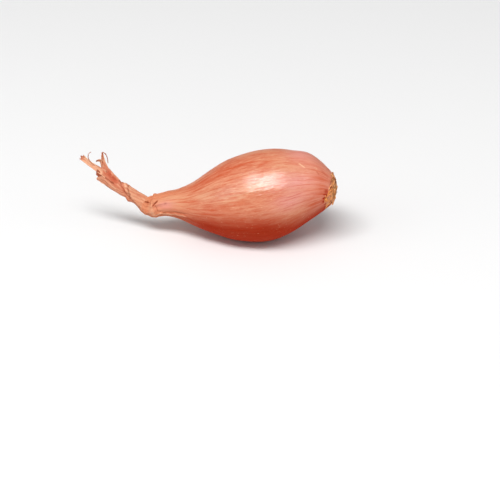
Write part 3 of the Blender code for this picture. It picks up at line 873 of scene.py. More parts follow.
def skin_material(name, under):
    """Papery copper skin: patches, then broad, middle, fine and hair-thin streaks along the grain
    set how deep or pale it is, the root end is pinker and the neck tan, and the creases carry
    their own tint. Painted shade darkens the side that lies down, the creases, the nicks, the
    neck's hollow and in part the under skin, and one cream patch is a painted highlight."""
    look = settings("skin")
    neck = settings("neck")
    made = Nodes(name)
    plus, times, spread = made.plus, made.times, made.spread
    station, tint, low_side, cream, pink, deep, polish = (
        made.attribute(key) for key in ("station", "tint", "low_side", "cream", "pink", "deep", "gloss")
    )
    broad, middle, fine, mottle, hair, fleck = made.grain_noises((
        (0.15, 0.030, 2.0, 0.5),
        (0.75, 0.085, 3.0, 0.6),
        (1.9, 0.19, 2.0, 0.65),
        (0.50, 0.20, 3.0, 0.6),
        (4.2, 0.26, 2.0, 0.6),
        (1.9, 0.85, 2.0, 0.7),
    ))
    pale = plus(spread(broad, 0.38, 0.64, 0.0, 0.6), spread(middle, 0.42, 0.66, 0.0, 0.35))
    pale = plus(pale, spread(mottle, 0.36, 0.64, -0.30, 0.30))
    calm = times(spread(station, 44.0, 72.0, 0.42, 0.20), spread(station, 4.0, 26.0, 0.50, 1.0))
    # The colour of the darker tint: painted shade in the creases, the nicks and the neck's hollow, with a
    # few dark marks by the root; deep red by the root and the crease colour farther up.
    shade_and_dark_marks = made.layered(look.shade_red, [(spread(station, 6.0, 9.0), neck.crease)])
    layers = [
        (pale, look.peach),
        (spread(station, 20.0, 4.0, 0.0, 0.35), look.blush),
        (spread(station, 62.0, 84.0, 0.0, 0.7), neck.leaf),
        # cream patches, one of them a painted highlight
        (times(times(cream, spread(middle, 0.34, 0.60, 0.15, 1.0)), 0.45), look.cream),
        (times(pink, spread(broad, 0.3, 0.6, 0.6, 1.0)), look.blush),
        (times(deep, spread(middle, 0.62, 0.38, 0.30, 0.80)), look.deep),
        (spread(middle, 0.48, 0.30, 0.0, 0.45), look.deep),
        (times(spread(fine, 0.54, 0.70), calm), look.peach),
        (times(spread(fine, 0.47, 0.30), calm), look.deep),
        (times(spread(hair, 0.58, 0.70), calm), look.cream),
        (times(spread(hair, 0.44, 0.32), calm), look.deep),
        # painted shade: the side that lies down is darkened to deep red
        (times(low_side, spread(middle, 0.3, 0.7, 1.0, 0.92)), look.shade_red),
        (spread(fleck, 0.66, 0.74, 0.0, 0.6), neck.straw),
        # painted shade and dark marks, where the tint is below 0
        (spread(tint, 0.0, -1.0), shade_and_dark_marks),
        (spread(tint, 0.0, 1.0), neck.straw),
    ]
    if under:
        (fibres,) = made.grain_noises([(2.6, 0.12, 3.0, 0.6)])
        # deep red towards the root: partly the under skin's own colour and partly painted shade under the
        # torn edge and between the shreds
        layers.append((spread(station, 10.0, 5.0, 0.0, 0.85), look.shade_red))
        layers.append((spread(fibres, 0.52, 0.68, 0.0, 0.6), look.copper))
    rough = plus(spread(middle, 0.3, 0.7, 0.34, 0.44), spread(fine, 0.3, 0.7, -0.05, 0.08))
    shine = times(spread(middle, 0.32, 0.55, 0.6, 1.0), spread(fine, 0.36, 0.56, 0.55, 1.0))
    return made.finished(
        Base_Color=made.layered(look.copper, layers),
        Roughness=plus(rough, times(low_side, 0.35)),
        Normal=made.relief(plus(times(middle, 0.6), fine), 0.16 * MM, 0.7),
        Coat_Weight=times(polish, shine),
        Coat_Roughness=0.16,
        Coat_IOR=1.92,
        Coat_Normal=made.relief(plus(fine, times(hair, 0.5)), 0.15 * MM, 0.7),
        Specular_IOR_Level=0.06,
    )


def leaf_material(name, dark=0.0):
    """Dry leaf: fine fibres along it, paler and darker bands, brown at the torn ends. Its darker
    tint is also painted shade in the creases, in the neck's hollow and on the leaves' undersides.
    """
    look = settings("neck")
    skin = settings("skin")
    made = Nodes(name)
    times, spread = made.times, made.spread
    tint, ripe = made.attribute("tint"), made.attribute("ripe")
    band, fibre, patch, spot = made.grain_noises((
        (0.9, 0.06, 3.0, 0.6),
        (3.2, 0.16, 3.0, 0.6),
        (0.45, 0.16, 2.0, 0.5),
        (1.3, 0.5, 2.0, 0.6),
    ))
    mottled = made.plus(times(ripe, 0.5), 0.35)
    layers = [
        (spread(band, 0.35, 0.65), look.straw),
        (spread(patch, 0.46, 0.64, 0.0, 0.75), skin.copper),
        (spread(ripe, 0.0, 1.0), skin.deep),
        (times(spread(spot, 0.56, 0.70), mottled), look.crease),
        (times(spread(spot, 0.42, 0.30), mottled), look.straw),
        (times(spread(fibre, 0.50, 0.30), mottled), look.crease),
        # darker tint: brown at the straps' tips, and painted shade in the creases, the hollow and on the
        # leaves' undersides
        (spread(tint, 0.0, -1.0), look.crease),
        (spread(tint, 0.0, 1.0), look.straw),
        (dark, look.crease),
    ]
    return made.finished(
        Base_Color=made.layered(look.leaf, layers),
        Roughness=spread(band, 0.3, 0.7, 0.5, 0.68),
        Normal=made.relief(made.plus(band, fibre), 0.14 * MM, 0.6),
        Specular_IOR_Level=0.4,
    )


def root_material(name, main, other, pitted):
    """Dry cork and fibre: blotches of the two colours, dull pits, and a shade drawn for each
    piece of it, whose low end takes the gap colour: painted shade between the pieces, also given
    to the darkest roots. pitted is how far the pits take the dull colour."""
    look = settings("root")
    made = Nodes(name)
    place = made.add("TexCoord", {}, "Object")
    shade = made.attribute("shade")
    blotch = made.noise(place, (0.7 / MM,) * 3, 3.0, 0.6)
    pit = made.noise(place, (1.9 / MM,) * 3, 3.0, 0.65)
    layers = (
        (made.spread(blotch, 0.42, 0.62), other),
        (made.spread(shade, 0.80, 1.0, 0.0, 0.70), look.shard),
        # low shade: the gap colour, painted shade between the pieces, on the plate's sides and in its
        # hollow
        (made.spread(shade, 0.45, 0.0, 0.0, 0.9), look.gap),
        (made.spread(pit, 0.40, 0.30, 0.0, pitted), look.olive),
    )
    return made.finished(
        Base_Color=made.layered(main, layers),
        Roughness=made.spread(blotch, 0.3, 0.7, 0.66, 0.85),
        Normal=made.relief(pit, 0.25 * MM, 0.6),
        Specular_IOR_Level=0.3,
    )


def with_rings(before, grid, after):
    """The (distance, radius) rows of a grid, with rings put before and after them. Each of a
    ring's two values is one number or one for each column."""
    width = np.ones(grid[0].shape[1])
    return [np.vstack([part * width for part in parts]) for parts in zip(*before, grid, *after)]


def soft_floor(height):
    """Heights under a tenth of a millimetre flattened softly onto 0, where the bulb rests."""
    return np.where(height < 0.1, np.where(height < -0.1, 0.0, (height + 0.1) ** 2 / 0.4), height)


class SHALLOT_OT_outer_skin(bpy.types.Operator):
    """Papery outer skin, from its torn edge round the root to the end of the rolled neck"""

    bl_idname = "shallot.outer_skin"
    bl_label = "Outer skin"

    def execute(self, context):
        """A grid of distance along and angle round: the skin's radius out from the centre line,
        turned in under the torn edge at the root and into the hollow at the neck's end."""
        spine = Spine()
        columns = 400
        angle = even_angles(columns)
        edge = torn_edge(angle)
        split = SPLIT_STATION + SPLIT_TEAR * jagged(angle, seed=9, teeth=40, slow_waves=(1, 3))
        flank, neck_base = np.full(columns, 14.0), np.full(columns, 78.0)
        # Rows from one line to the next, as (start, end, rows, crowding towards the start)
        spans = ((edge, flank, 44, 1.5), (flank, neck_base, 56, 1.0), (neck_base, split, 138, 1.0))
        station = np.concatenate([
            a + (b - a) * np.linspace(0.0, 1.0, rows, endpoint=b is split)[:, None] ** crowding
            for a, b, rows, crowding in spans
        ])
        turned = np.broadcast_to(angle, station.shape)
        curl = np.clip(0.5 + 0.6 * jagged(angle, seed=5, teeth=46, slow_waves=(3, 4, 8)), 0.0, 1.6)
        curl_length = 1.3
        lift = settings("skin").torn_lift / MM * curl * np.exp((edge - station) / curl_length)
        radius = skin_radius(station, turned) + lift
        # The creases' and nicks' tint; its dark part is painted shade in the creases and slits
        tint = stroke_fields(station, turned + twist_at(station))[1] + nicks(station, turned)

        # Turned in under the torn edge, and into the hollow neck by (depth, share of the radius)
        end, inside = 8.0, edge + 3.5
        under_edge = (
            (end, 2.0),
            (inside, section_radius(inside, angle) - 0.75),
            (edge + 0.05, radius[0] - 0.13),
        )
        walls = ((-0.03, 0.80), (0.6, 0.74), (NECK_HOLLOW_DEPTH, 0.66))
        in_neck = [(split - depth, radius[-1] * share) for depth, share in walls]
        station, radius = with_rings(under_edge, (station, radius), in_neck)
        added = (len(under_edge), len(walls)), (0, 0)
        # painted shade: the walls turned into the neck's hollow take the darkest tint
        tint = np.pad(tint, added, constant_values=((0.0, -1.0), (0.0, 0.0)))
        turned = np.broadcast_to(angle, station.shape)
        points = spine.point(station, radius, turned + twist_at(station))
        points[..., 2] = soft_floor(points[..., 2])
        poles = spine.centre(end), spine.centre(SPLIT_STATION - NECK_HOLLOW_DEPTH)
        values = skin_values(station, turned, tint)
        material = skin_material("papery_skin_outer", False)
        add_piece("outer_skin", closed_round(points, *poles), values, material)
        return {"FINISHED"}


class SHALLOT_OT_under_skin(bpy.types.Operator):
    """Skin of the next layer, which shows between the torn edge and the root plate"""

    bl_idname = "shallot.under_skin"
    bl_label = "Under skin"

    def execute(self, context):
        """A grid of distance along and angle round, a little inside the outer skin, that dips
        into the dish round the root plate and is closed inside the bulb."""
        spine = Spine()
        columns, rows, crowding = 260, 44, 1.25
        angle = even_angles(columns)
        share = np.linspace(0.0, 1.0, rows)[:, None] ** crowding
        start, last, end = 0.2, 11.0, 12.0
        torn = UNDER_SKIN_TEAR * jagged(angle, seed=21, teeth=90, slow_waves=(3, 7))
        station = start + torn * (1 - share) + (last - start) * share
        folds = 0.10 * np.sin(31 * angle + 2.0 * share) + 0.07 * np.sin(53 * angle - 1.0)
        radius = section_radius(station, angle) - UNDER_SKIN_DEPTH + folds * (1 - 0.6 * share)
        recess, bottom = PLATE_RADIUS + PLATE_GAP, PLATE_DEPTH + PLATE_GAP
        dish = ((bottom, 0.4 * recess), (bottom, recess - 0.1), (1.6, recess))
        station, radius = with_rings(dish, (station, radius), ((end, end / 2),))
        turned = np.broadcast_to(angle, station.shape)
        points = spine.point(station, radius, turned)
        # painted shade: the skin is tinted darker as it dips into the dish round the plate
        values = skin_values(station, turned, -0.5 * eased(station, 1.6, 0.8))
        shape = closed_round(points, spine.centre(bottom), spine.centre(end))
        add_piece("under_skin", shape, values, skin_material("papery_skin_under", True))
        return {"FINISHED"}


def neck_sheet(spine, starts, ends, low, high, stands, rows, columns, seed, rounding, torn):
    """A leaf wrapped on the neck: a grid from a slanting start line to a slanting end line along,
    and between two long edges across. Each line is given at the leaf's low edge and at its high
    edge, and the end line bulges by the rounding and is torn. stands is how far the low edge, the
    high edge, the start and the end stand off the roll. Returns the points, the distances, world
    angles and tints, and the shares along and across."""
    share = np.linspace(0.0, 1.0, rows)[:, None]
    across = np.linspace(0.0, 1.0, columns)[None, :]
    start = starts[0] + (starts[1] - starts[0]) * across
    end = ends[0] + (ends[1] - ends[0]) * across + rounding * np.sin(math.pi * across)
    end = end + torn * jagged(across[0] * TURN, seed, teeth=9, slow_waves=(1, 2))
    station = start + (end - start) * share
    low_edge, high_edge = along_curve(low, station), along_curve(high, station)
    world = NECK_BROAD_ANGLE + np.radians(low_edge + (high_edge - low_edge) * across)
    relief, tint = stroke_fields(station, world)
    draw = np.random.default_rng(seed)
    fibres = np.zeros(station.shape)
    for n in (7.0, 12.0, 19.0, 31.0):
        drift = draw.uniform(0.15, 0.5) * np.sin(station / draw.uniform(2.5, 6.0) + draw.uniform(0, TURN))
        phase = draw.uniform(0, TURN)
        fibres = fibres + FIBRE_HEIGHT / n * np.sin(n * (across + 0.1 * drift) * math.pi + phase)
    lift = LEAF_CLEARANCE + stands[0] * (1 - across) ** 5 + stands[1] * across**5
    lift = lift + stands[2] * (1 - eased(share, 0.0, 0.22)) + stands[3] * bump(share, 1.0, 0.09)
    off = lift + relief + fibres * np.sin(math.pi * across) ** 0.5
    radius = section_radius(station, world - twist_at(station)) + off
    return spine.point(station, radius, world), station, world, tint, share, across


class SHALLOT_OT_neck_leaves(bpy.types.Operator):
    """Dry leaves wrapped round the folded neck, on the near and the far side of its knot"""

    bl_idname = "shallot.neck_leaves"
    bl_label = "Neck leaves"

    # Name, start line, end line, low edge, high edge, how far the low edge, the high edge, the
    # start and the end stand off, rows, columns, how ripe, how rounded and how torn the end is
    LEAVES = (
        (
            "front_wrap", (91.0, 90.0), (99.2, 101.8),
            ((91.0, -160), (93.5, -155), (95.6, -147), (97.5, -128), (99.0, -98), (102.0, -80)),
            ((90.0, 26), (95.0, 32), (103.0, 16)),
            (0.45, 0.12, -0.55, 0.28), 80, 70, 0.0, 0.0, 0.4,
        ),
        (
            "knot_band", (99.4, 101.4), (100.8, 105.0),
            ((98.0, -112), (101.0, -110)),
            ((100.0, 20), (106.0, 18)),
            (0.20, 0.05, 0.0, 0.30), 24, 50, 0.0, 0.0, 0.3,
        ),
        (
            "upper_leaf", (100.0, 101.8), (114.8, 118.6),
            ((100.0, -112), (105.0, -102), (111.0, -98), (118.0, -102)),
            ((100.0, 34), (108.0, 22), (116.0, 20), (119.0, 10)),
            (0.40, 0.10, 0.0, 0.15), 90, 60, 0.9, 0.0, 0.4,
        ),
        (
            "lower_leaf", (93.0, 92.0), (113.4, 113.8),
            ((92.0, -222), (100.0, -214), (116.0, -206)),
            ((92.0, -158), (95.5, -140), (98.6, -104), (104.0, -100), (110.0, -98), (116.0, -106)),
            (0.30, 0.20, -0.40, 0.25), 90, 40, 0.6, 2.2, 0.15,
        ),
        # a dark leaf in the neck's hollow, painted shade
        (
            "inner_leaf", (108.0, 108.0), (117.0, 118.2),
            ((106.0, -158), (112.0, -156), (118.0, -150)),
            ((106.0, -92), (112.0, -88), (118.0, -84)),
            (-0.25, -0.25, -0.40, -0.05), 40, 30, 1.0, 0.3, 0.15,
        ),
        (
            "back_leaf", (88.0, 87.0), (114.0, 115.4),
            ((87.0, 36), (100.0, 34), (115.0, 28)),
            ((87.0, 142), (100.0, 150), (115.0, 142)),
            (0.30, 0.30, -0.45, 0.3), 90, 44, 0.3, 0.0, 0.4,
        ),
    )

    def execute(self, context):
        """Sheets on the neck's roll, whose free edges stand a little off it."""
        spine = Spine()
        thick = settings("neck").leaf_thickness / MM
        material = leaf_material("dry_leaf_neck")
        for n, (name, *form, ripe, rounding, torn) in enumerate(self.LEAVES):
            seed = 31 + 2 * n
            points, station, world, tint, share, across = neck_sheet(spine, *form, seed, rounding, torn)
            tint = tint + 0.35 * bump(across, 0.0, 0.035) + 0.45 * bump(share, 1.0, 0.03)
            # painted shade in the crease at the knot
            if name == "upper_leaf":
                tint = tint - 0.27 * bump(station, KNOT_STATION, 1.5)
            # painted shade: the inner leaf is darkened all over to stand for the shade inside the neck's
            # hollow
            if name == "inner_leaf":
                tint = tint - 1.0
            # painted shade on the lower leaf's underside
            if name == "lower_leaf":
                tint = tint - 0.5 * bump(np.degrees(world - NECK_BROAD_ANGLE), -174.0, 20.0)
            red = 0.58 + 0.42 * bump(station, 110.5, 3.2) * bump(np.degrees(world), -6.0, 34.0)
            grid = (1,) + station.shape
            uv = np.stack([across + 0 * station, station / SPLIT_STATION], axis=-1)
            narrowed = 0.35 * (world - twist_at(station))
            # The leaves' inner faces are tinted darker: painted shade under them.
            values = {
                "grain": both_faces(grain(station, narrowed), grid, (3,)),
                "tint": np.concatenate([tint.ravel(), np.full(tint.size, -0.6)]),
                "ripe": both_faces(ripe * red, grid),
                "uv": both_faces(uv, grid, (2,)),
            }
            add_piece(name, sheets(points[None], thick), values, material)
        return {"FINISHED"}


def neck_path(spine, offsets, rows):
    """A smooth path from places counted from the neck's end: along it, across its broad side and
    out of the flat side that faces the front. Returns it and the direction out of that side."""
    broad, flat = (spine.outward(SPLIT_STATION, NECK_BROAD_ANGLE - a) for a in (0.0, math.pi / 2))
    directions = np.stack([spine.tangent(SPLIT_STATION), broad, flat])
    return smooth_path(spine.centre(SPLIT_STATION) + np.array(offsets) @ directions, rows), flat


def strap_points(spine, offsets, widths, cup, roll, rows, columns, notch, slant, seed):
    """A leaf end along a smooth path: its section is a shallow cup across, turned by the roll as
    it goes, rippled along its fibres. Its start is cut on a slant and its end is notched."""
    path, flat = neck_path(spine, offsets, rows)
    forward = unit(np.gradient(path, axis=0))
    across = unit(np.cross(forward, flat))
    face = np.cross(across, forward)
    share = np.linspace(0.0, 1.0, rows)[:, None]
    turn = math.radians(roll) * share
    span = np.cos(turn) * across + np.sin(turn) * face
    rise = np.cos(turn) * face - np.sin(turn) * across
    x = np.linspace(-1.0, 1.0, columns)[None, :, None]
    width = np.interp(share[:, 0], np.linspace(0, 1, len(widths)), widths)[:, None, None] / 2
    ripple = 0.06 * np.sin(x * 11.0 + seed) + 0.04 * np.sin(x * 19.0 + 3.0 * share[:, :, None])
    points = path[:, None] + x * width * span[:, None]
    points = points + (cup * (x * x - 0.4) * width + ripple) * rise[:, None]
    torn = jagged((x[0, :, 0] + 1) * 2.6, seed, teeth=22, slow_waves=(1, 2))
    stretch = notch * torn[None, :, None] * eased(share, 0.75, 1.0)[:, :, None]
    stretch = stretch + slant * (x + 1) / 2 * (1 - eased(share, 0.0, 0.3))[:, :, None]
    return points + stretch * forward[:, None]


class SHALLOT_OT_leaf_ends(bpy.types.Operator):
    """Torn straps and thin curled wisps that stand out of the split neck"""

    bl_idname = "shallot.leaf_ends"
    bl_label = "Leaf ends and wisps"

    # Name, path as neck_path takes it, widths along it, how cupped, roll in degrees, rows,
    # columns, how notched its end and how slanted its start is, how ripe
    STRAPS = (
        (
            "long_strap",
            ((-2.0, 0.9, 2.2), (0.4, 0.75, 2.15), (2.6, 0.5, 1.7), (7.2, -0.1, 0.8), (12.6, -0.2, 0.1)),
            (2.9, 2.8, 2.4, 2.1, 2.2, 2.6), 0.4, 15, 64, 18, 1.3, 1.6, 0.0,
        ),
        (
            "torn_strap",
            ((-8.0, 1.2, 0.9), (-3.0, 1.5, 1.1), (0.0, 2.3, 0.6), (2.0, 3.1, 0.3), (4.2, 4.3, 0.2)),
            (3.4, 4.0, 3.6, 2.6, 0.9), 0.35, -10, 44, 20, 0.9, 0.0, 0.55,
        ),
        (
            "hooked_tip",
            ((0.6, 2.6, 0.3), (2.6, 3.6, 0.2), (4.2, 4.1, 0.2), (5.2, 3.8, 0.4), (6.0, 2.5, 0.6)),
            (2.0, 2.0, 1.6, 1.1, 0.4), 0.5, 30, 36, 10, 0.3, 0.0, 0.3,
        ),
        (
            "spike",
            ((0.6, 3.0, 0.2), (2.6, 3.9, 0.1), (4.5, 5.5, -0.1), (6.4, 7.4, -0.3)),
            (2.3, 2.0, 1.2, 0.5), 0.5, -30, 30, 10, 0.2, 0.0, 0.2,
        ),
        (
            "lower_strap",
            ((-5.0, -2.1, 0.5), (-2.0, -2.6, 0.6), (0.2, -2.9, 0.5)),
            (1.8, 2.0, 1.6), 0.5, 0, 24, 12, 0.7, 0.0, 0.0,
        ),
    )
    WISPS = (
        (
            "curled_wisp",
            (
                (-2.0, 1.0, 0.5), (1.0, 0.95, 0.6), (3.3, 0.8, 0.7), (6.1, 0.6, 0.9),
                (8.4, 0.9, 0.9), (10.1, 1.7, 0.7), (10.9, 3.2, 0.4), (10.5, 4.4, 0.1),
            ),
        ),
        (
            "arched_wisp",
            (
                (4.2, 5.4, -0.1), (5.6, 6.7, -0.2), (6.3, 7.6, -0.3),
                (5.0, 7.9, -0.5), (3.0, 7.0, -0.8), (1.0, 5.2, -1.0),
            ),
        ),
    )

    def execute(self, context):
        """Cupped sheets along smooth paths, and thin tapering stems."""
        spine = Spine()
        self.straps(spine)
        self.wisps(spine)
        return {"FINISHED"}

    def straps(self, spine):
        """Sheets along the straps' paths, pale at their edges and brown at their tips."""
        thick = settings("neck").leaf_thickness / MM
        material = leaf_material("dry_leaf_ends")
        for n, (name, *form, ripe) in enumerate(self.STRAPS):
            points = strap_points(spine, *form, 50 + n)
            rows, columns = points.shape[:2]
            row, column = np.meshgrid(np.linspace(0, 1, rows), np.linspace(0, 1, columns), indexing="ij")
            tint = 0.35 * bump(np.minimum(column, 1 - column), 0.0, 0.12) + 0.35 * (1 - ripe)
            tint = tint - 1.08 * eased(row, 0.82, 1.0)
            if name == "long_strap":
                tint = tint - 1.3 * bump(column, 1.0, 0.10) * bump(row, 0.42, 0.22)
                tint = tint - 0.45 * bump(column, 0.52, 0.07) * bump(row, 0.70, 0.22)
            grid = (1, rows, columns)
            along_leaf = np.stack([column * 4.0, 0 * row, row * 14.0], -1) + 9.0 * n
            values = {
                "grain": both_faces(along_leaf, grid, (3,)),
                "tint": both_faces(tint, grid),
                "ripe": both_faces(ripe, grid),
                "uv": both_faces(np.stack([column, row], -1), grid, (2,)),
            }
            add_piece(name, sheets(points[None], thick), values, material)

    def wisps(self, spine):
        """Thin stems along smooth paths, tapering to their tips."""
        material = leaf_material("dry_leaf_wisps", 0.45)
        rows, sides = 60, 8
        radius = settings("neck").wisp_radius / MM * np.linspace(1.2, 0.75, rows)[None, :]
        radius[:, -1] *= 0.3
        for n, (name, offsets) in enumerate(self.WISPS):
            path, flat = neck_path(spine, offsets, rows)
            uv = tube_map(1, rows, sides)
            round_stem, row = uv.T
            values = {
                "grain": np.stack([0.1 * sides * round_stem, 0 * row, row * 12.0], -1) + 5.0 * n,
                "tint": -0.2 - 0.5 * row,
                "ripe": 0 * row,
                "uv": uv,
            }
            shape = tubes(path[None], flat[None, None], radius, sides, flatness=0.7)
            add_piece(name, shape, values, material)


class SHALLOT_OT_root_plate(bpy.types.Operator):
    """Corky root plate that sits in the bulb's end"""

    bl_idname = "shallot.root_plate"
    bl_label = "Root plate"

    def execute(self, context):
        """A dome of distance and angle: its height falls off towards the rim, with a folded rim
        and knobs that are sums of cosines round the turn, and a hollow at one side."""
        look = settings("root")
        spine = Spine()
        columns, rows, side_rows = 140, 50, 6
        angle = -even_angles(columns)
        share = np.linspace(0.02, 1.0, rows)[:, None]
        folds = waves(angle, ((4, 0.30, 3 * share), (7, 0.22, -5 * share), (17, 0.12, 0.0)))
        rim = bump(share, 0.84, 0.15)
        hollow = bump(share, 0.80, 0.22) * bump(wrapped(angle - PLATE_HOLLOW_ANGLE), 0.0, 0.7)
        knobs = 0.12 * np.cos(9 * angle + 14 * share) * np.cos(21 * share + 2 * np.cos(3 * angle))
        station = -PLATE_DOME * (1 - share**2) - (0.40 + 0.7 * folds) * rim + knobs * share
        station = station + 0.9 * hollow + 1.2 * eased(share, 0.93, 1.0)
        radius = PLATE_RADIUS * share - 0.3 * np.abs(folds) * share
        edge = PLATE_RADIUS - 0.3 * np.abs(folds[-1])
        side = [(s, edge) for s in np.linspace(1.0, PLATE_DEPTH, side_rows)]
        station, radius = with_rings((), (station, radius), side)
        turned = np.broadcast_to(-angle, station.shape)
        points = spine.point(station, radius, turned)
        # Painted shade: darker in the middle under the roots, where the rim folds in, in the hollow and
        # on the sides in the recess.
        shade = 0.36 + 0.5 * (rim - 0.4) * (0.5 + folds) - 0.3 * hollow
        shade = np.pad(shade, ((0, len(side)), (0, 0)), constant_values=0.15).ravel()
        uv = np.stack([np.cos(turned) * radius, np.sin(turned) * radius], -1).reshape(-1, 2) / 12 + 0.5
        values = {"shade": np.append(shade, [0.5, 0.2]), "uv": np.concatenate([uv, [[0.5, 0.5]] * 2])}
        shape = closed_round(points, spine.centre(-PLATE_DOME), spine.centre(PLATE_DEPTH))
        # The plate's blotches take the gap colour: painted shade on the plate between the roots.
        material = root_material("corky_plate", look.cork, look.gap, 0.5)
        add_piece("cork_plate", shape, values, material, "root_plate")
        return {"FINISHED"}


class SHALLOT_OT_dried_roots(bpy.types.Operator):
    """Short brittle dried roots matted on the root plate"""

    bl_idname = "shallot.dried_roots"
    bl_label = "Dried roots"

    def execute(self, context):
        """Tapering stems that lie matted on the root end's dome: their feet are spread by the golden
        angle, each runs outwards and round by its own swirl, and stands off the dome by a layer of
        its own plus the sine of the share of the way along it."""
        look = settings("root")
        spine = Spine()
        draw = np.random.default_rng(7)
        count, rows, sides = look.root_count, 7, 5

        def each(low, high):
            return draw.uniform(low, high, (count, 1))

        k = np.arange(count)[:, None]
        reach = 0.92 * np.sqrt((k + 0.5) / count)
        swirl = draw.normal(ROOT_SWIRL, 0.55, (count, 1))
        length = each(*ROOT_LENGTH) * (0.85 - 0.25 * reach)
        s = np.linspace(0.0, 1.0, rows)[None, :]
        rim_radius = radius_at(ROOT_RIM_STATION)
        up_skin = (reach - 1.0) * rim_radius / COLLAR_CLOSING + length * np.cos(swirl) * s
        round_way = length * np.sin(swirl) * s / np.maximum(rim_radius * reach, 1.5)
        turned = k * GOLDEN_ANGLE + each(-0.3, 0.3) + round_way
        station, radius = collar(up_skin, turned)
        stand = each(0.0, 0.45) + each(-0.2, 0.5) * np.sin(math.pi * s / 2)
        stand = stand + 0.5 * each(0.0, 1.0) ** 4 * s
        sideways = 0.3 + 0.6 * reach
        path = spine.point(station - stand * (1.2 - sideways), radius + stand * sideways, turned)
        stout = look.root_radius / MM * each(0.4, 1.0)
        taper = stout * np.array([0.8, 1.0, 1.0, 0.95, 0.85, 0.7, 0.3])
        shape = tubes(path, -spine.tangent(0.0)[None, None], taper, sides, flatness=0.6)
        tone = np.where(each(0.0, 1.0) < 0.3, 0.16, each(0.45, 1.0))
        tone = tone - 0.45 * (1 - eased(reach, 0.25, 0.55)) + 0.1 * s
        values = {"shade": np.repeat(tone.ravel(), sides), "uv": tube_map(count, rows, sides)}
        material = root_material("dried_roots", look.fibre, look.cork, 0.25)
        add_piece("dried_roots", shape, values, material, "root_plate")
        return {"FINISHED"}


def collar(up_skin, turned):
    """(distance, radius) of a place near the root at this far up the skin from the rim round the
    plate. Under 0 it is past the rim, on a dome: the distance drops by the dome's height times
    1 - s^2, where s is the radius as a share of the rim's."""
    station = ROOT_RIM_STATION + COLLAR_RISE * np.maximum(up_skin, 0.0)
    radius = section_radius(station, turned)
    share = 1.0 + COLLAR_CLOSING * np.minimum(up_skin, 0.0) / radius
    return station - DOME_HEIGHT * (1 - share**2), radius * share


class SHALLOT_OT_skin_shreds(bpy.types.Operator):
    """Torn slivers of skin that lie over one another round the root plate"""

    bl_idname = "shallot.skin_shreds"
    bl_label = "Skin shreds"

    def execute(self, context):
        """Narrow leaves that lie along the skin and over the rim, in layers, with tips that rise
        with the square of the distance along them: orange ones round the whole torn edge, and
        paler ones farther up the frayed lower front."""
        look = settings("root")
        draw = np.random.default_rng(19)
        count = look.shred_count
        angle = np.arange(count) * GOLDEN_ANGLE + draw.uniform(-0.2, 0.2, count)
        edge = (torn_edge(angle) - ROOT_RIM_STATION) / COLLAR_RISE
        frayed = bump(wrapped(angle - NICK_ANGLE), 0.0, NICK_SPREAD)
        foot = edge + draw.uniform(-2.0, 0.5, count) + 3.0 * frayed * draw.uniform(0.0, 1.0, count) ** 2.5
        length = draw.uniform(*SHRED_LENGTH, count)
        width = draw.uniform(*SHRED_WIDTH, count)
        material = root_material("torn_skin", look.fibre, settings("skin").peach, 0.2)
        self.slivers("skin_shreds", draw, angle, foot, length, width, (0.24, 1.0), material)

        count = look.sliver_count
        angle = NICK_ANGLE + NICK_SPREAD * draw.uniform(-0.5, 0.8, count)
        foot = draw.uniform(0.8, 5.0, count)
        length = draw.uniform(*SLIVER_LENGTH, count)
        width = draw.uniform(*SLIVER_WIDTH, count)
        material = root_material("frayed_skin", look.fibre, settings("skin").peach, 0.0)
        self.slivers("frayed_slivers", draw, angle, foot, length, width, (0.62, 0.95), material)
        return {"FINISHED"}

    def slivers(self, name, draw, angle, foot, length, width, tones, material):
        """Places one leaf at each angle, its foot this far up the skin and its tip nearer the root."""
        angle, foot, length, width = (v[:, None, None] for v in (angle, foot, length, width))
        one_each = foot.shape
        tip = np.maximum(foot - length, -SHRED_REACH)
        lift = draw.uniform(0.0, 1.0, one_each) ** 3 * 0.5
        layer = draw.uniform(0.05, 0.40, one_each)
        drift = draw.normal(0.30, 0.16, one_each)
        rows, columns = 8, 3
        s = np.linspace(0.0, 1.0, rows)[None, :, None]
        x = np.linspace(-1.0, 1.0, columns)[None, None, :]
        along = foot + (tip - foot) * s + 0 * x
        half = width * (0.25 + 0.75 * (1 - s) ** 0.6)
        turned = angle + drift * s + x * half / (PLATE_RADIUS + 2.0)
        station, reach = collar(along, turned)
        arch = layer * (1 - 0.5 * s) + lift * s * s - 0.15 * (1 - s) ** 4
        points = Spine().point(station - 0.4 * arch, reach + arch + 0.10 * (1 - x * x), turned)
        tone = draw.uniform(*tones, one_each) - 0.20 * (1 - s) ** 2
        uv = np.stack(np.broadcast_arrays((x + 1) / 2, s), -1)
        grid = along.shape
        values = {"shade": both_faces(tone, grid), "uv": both_faces(uv, grid, (2,))}
        add_piece(name, sheets(points, SHRED_THICKNESS), values, material)


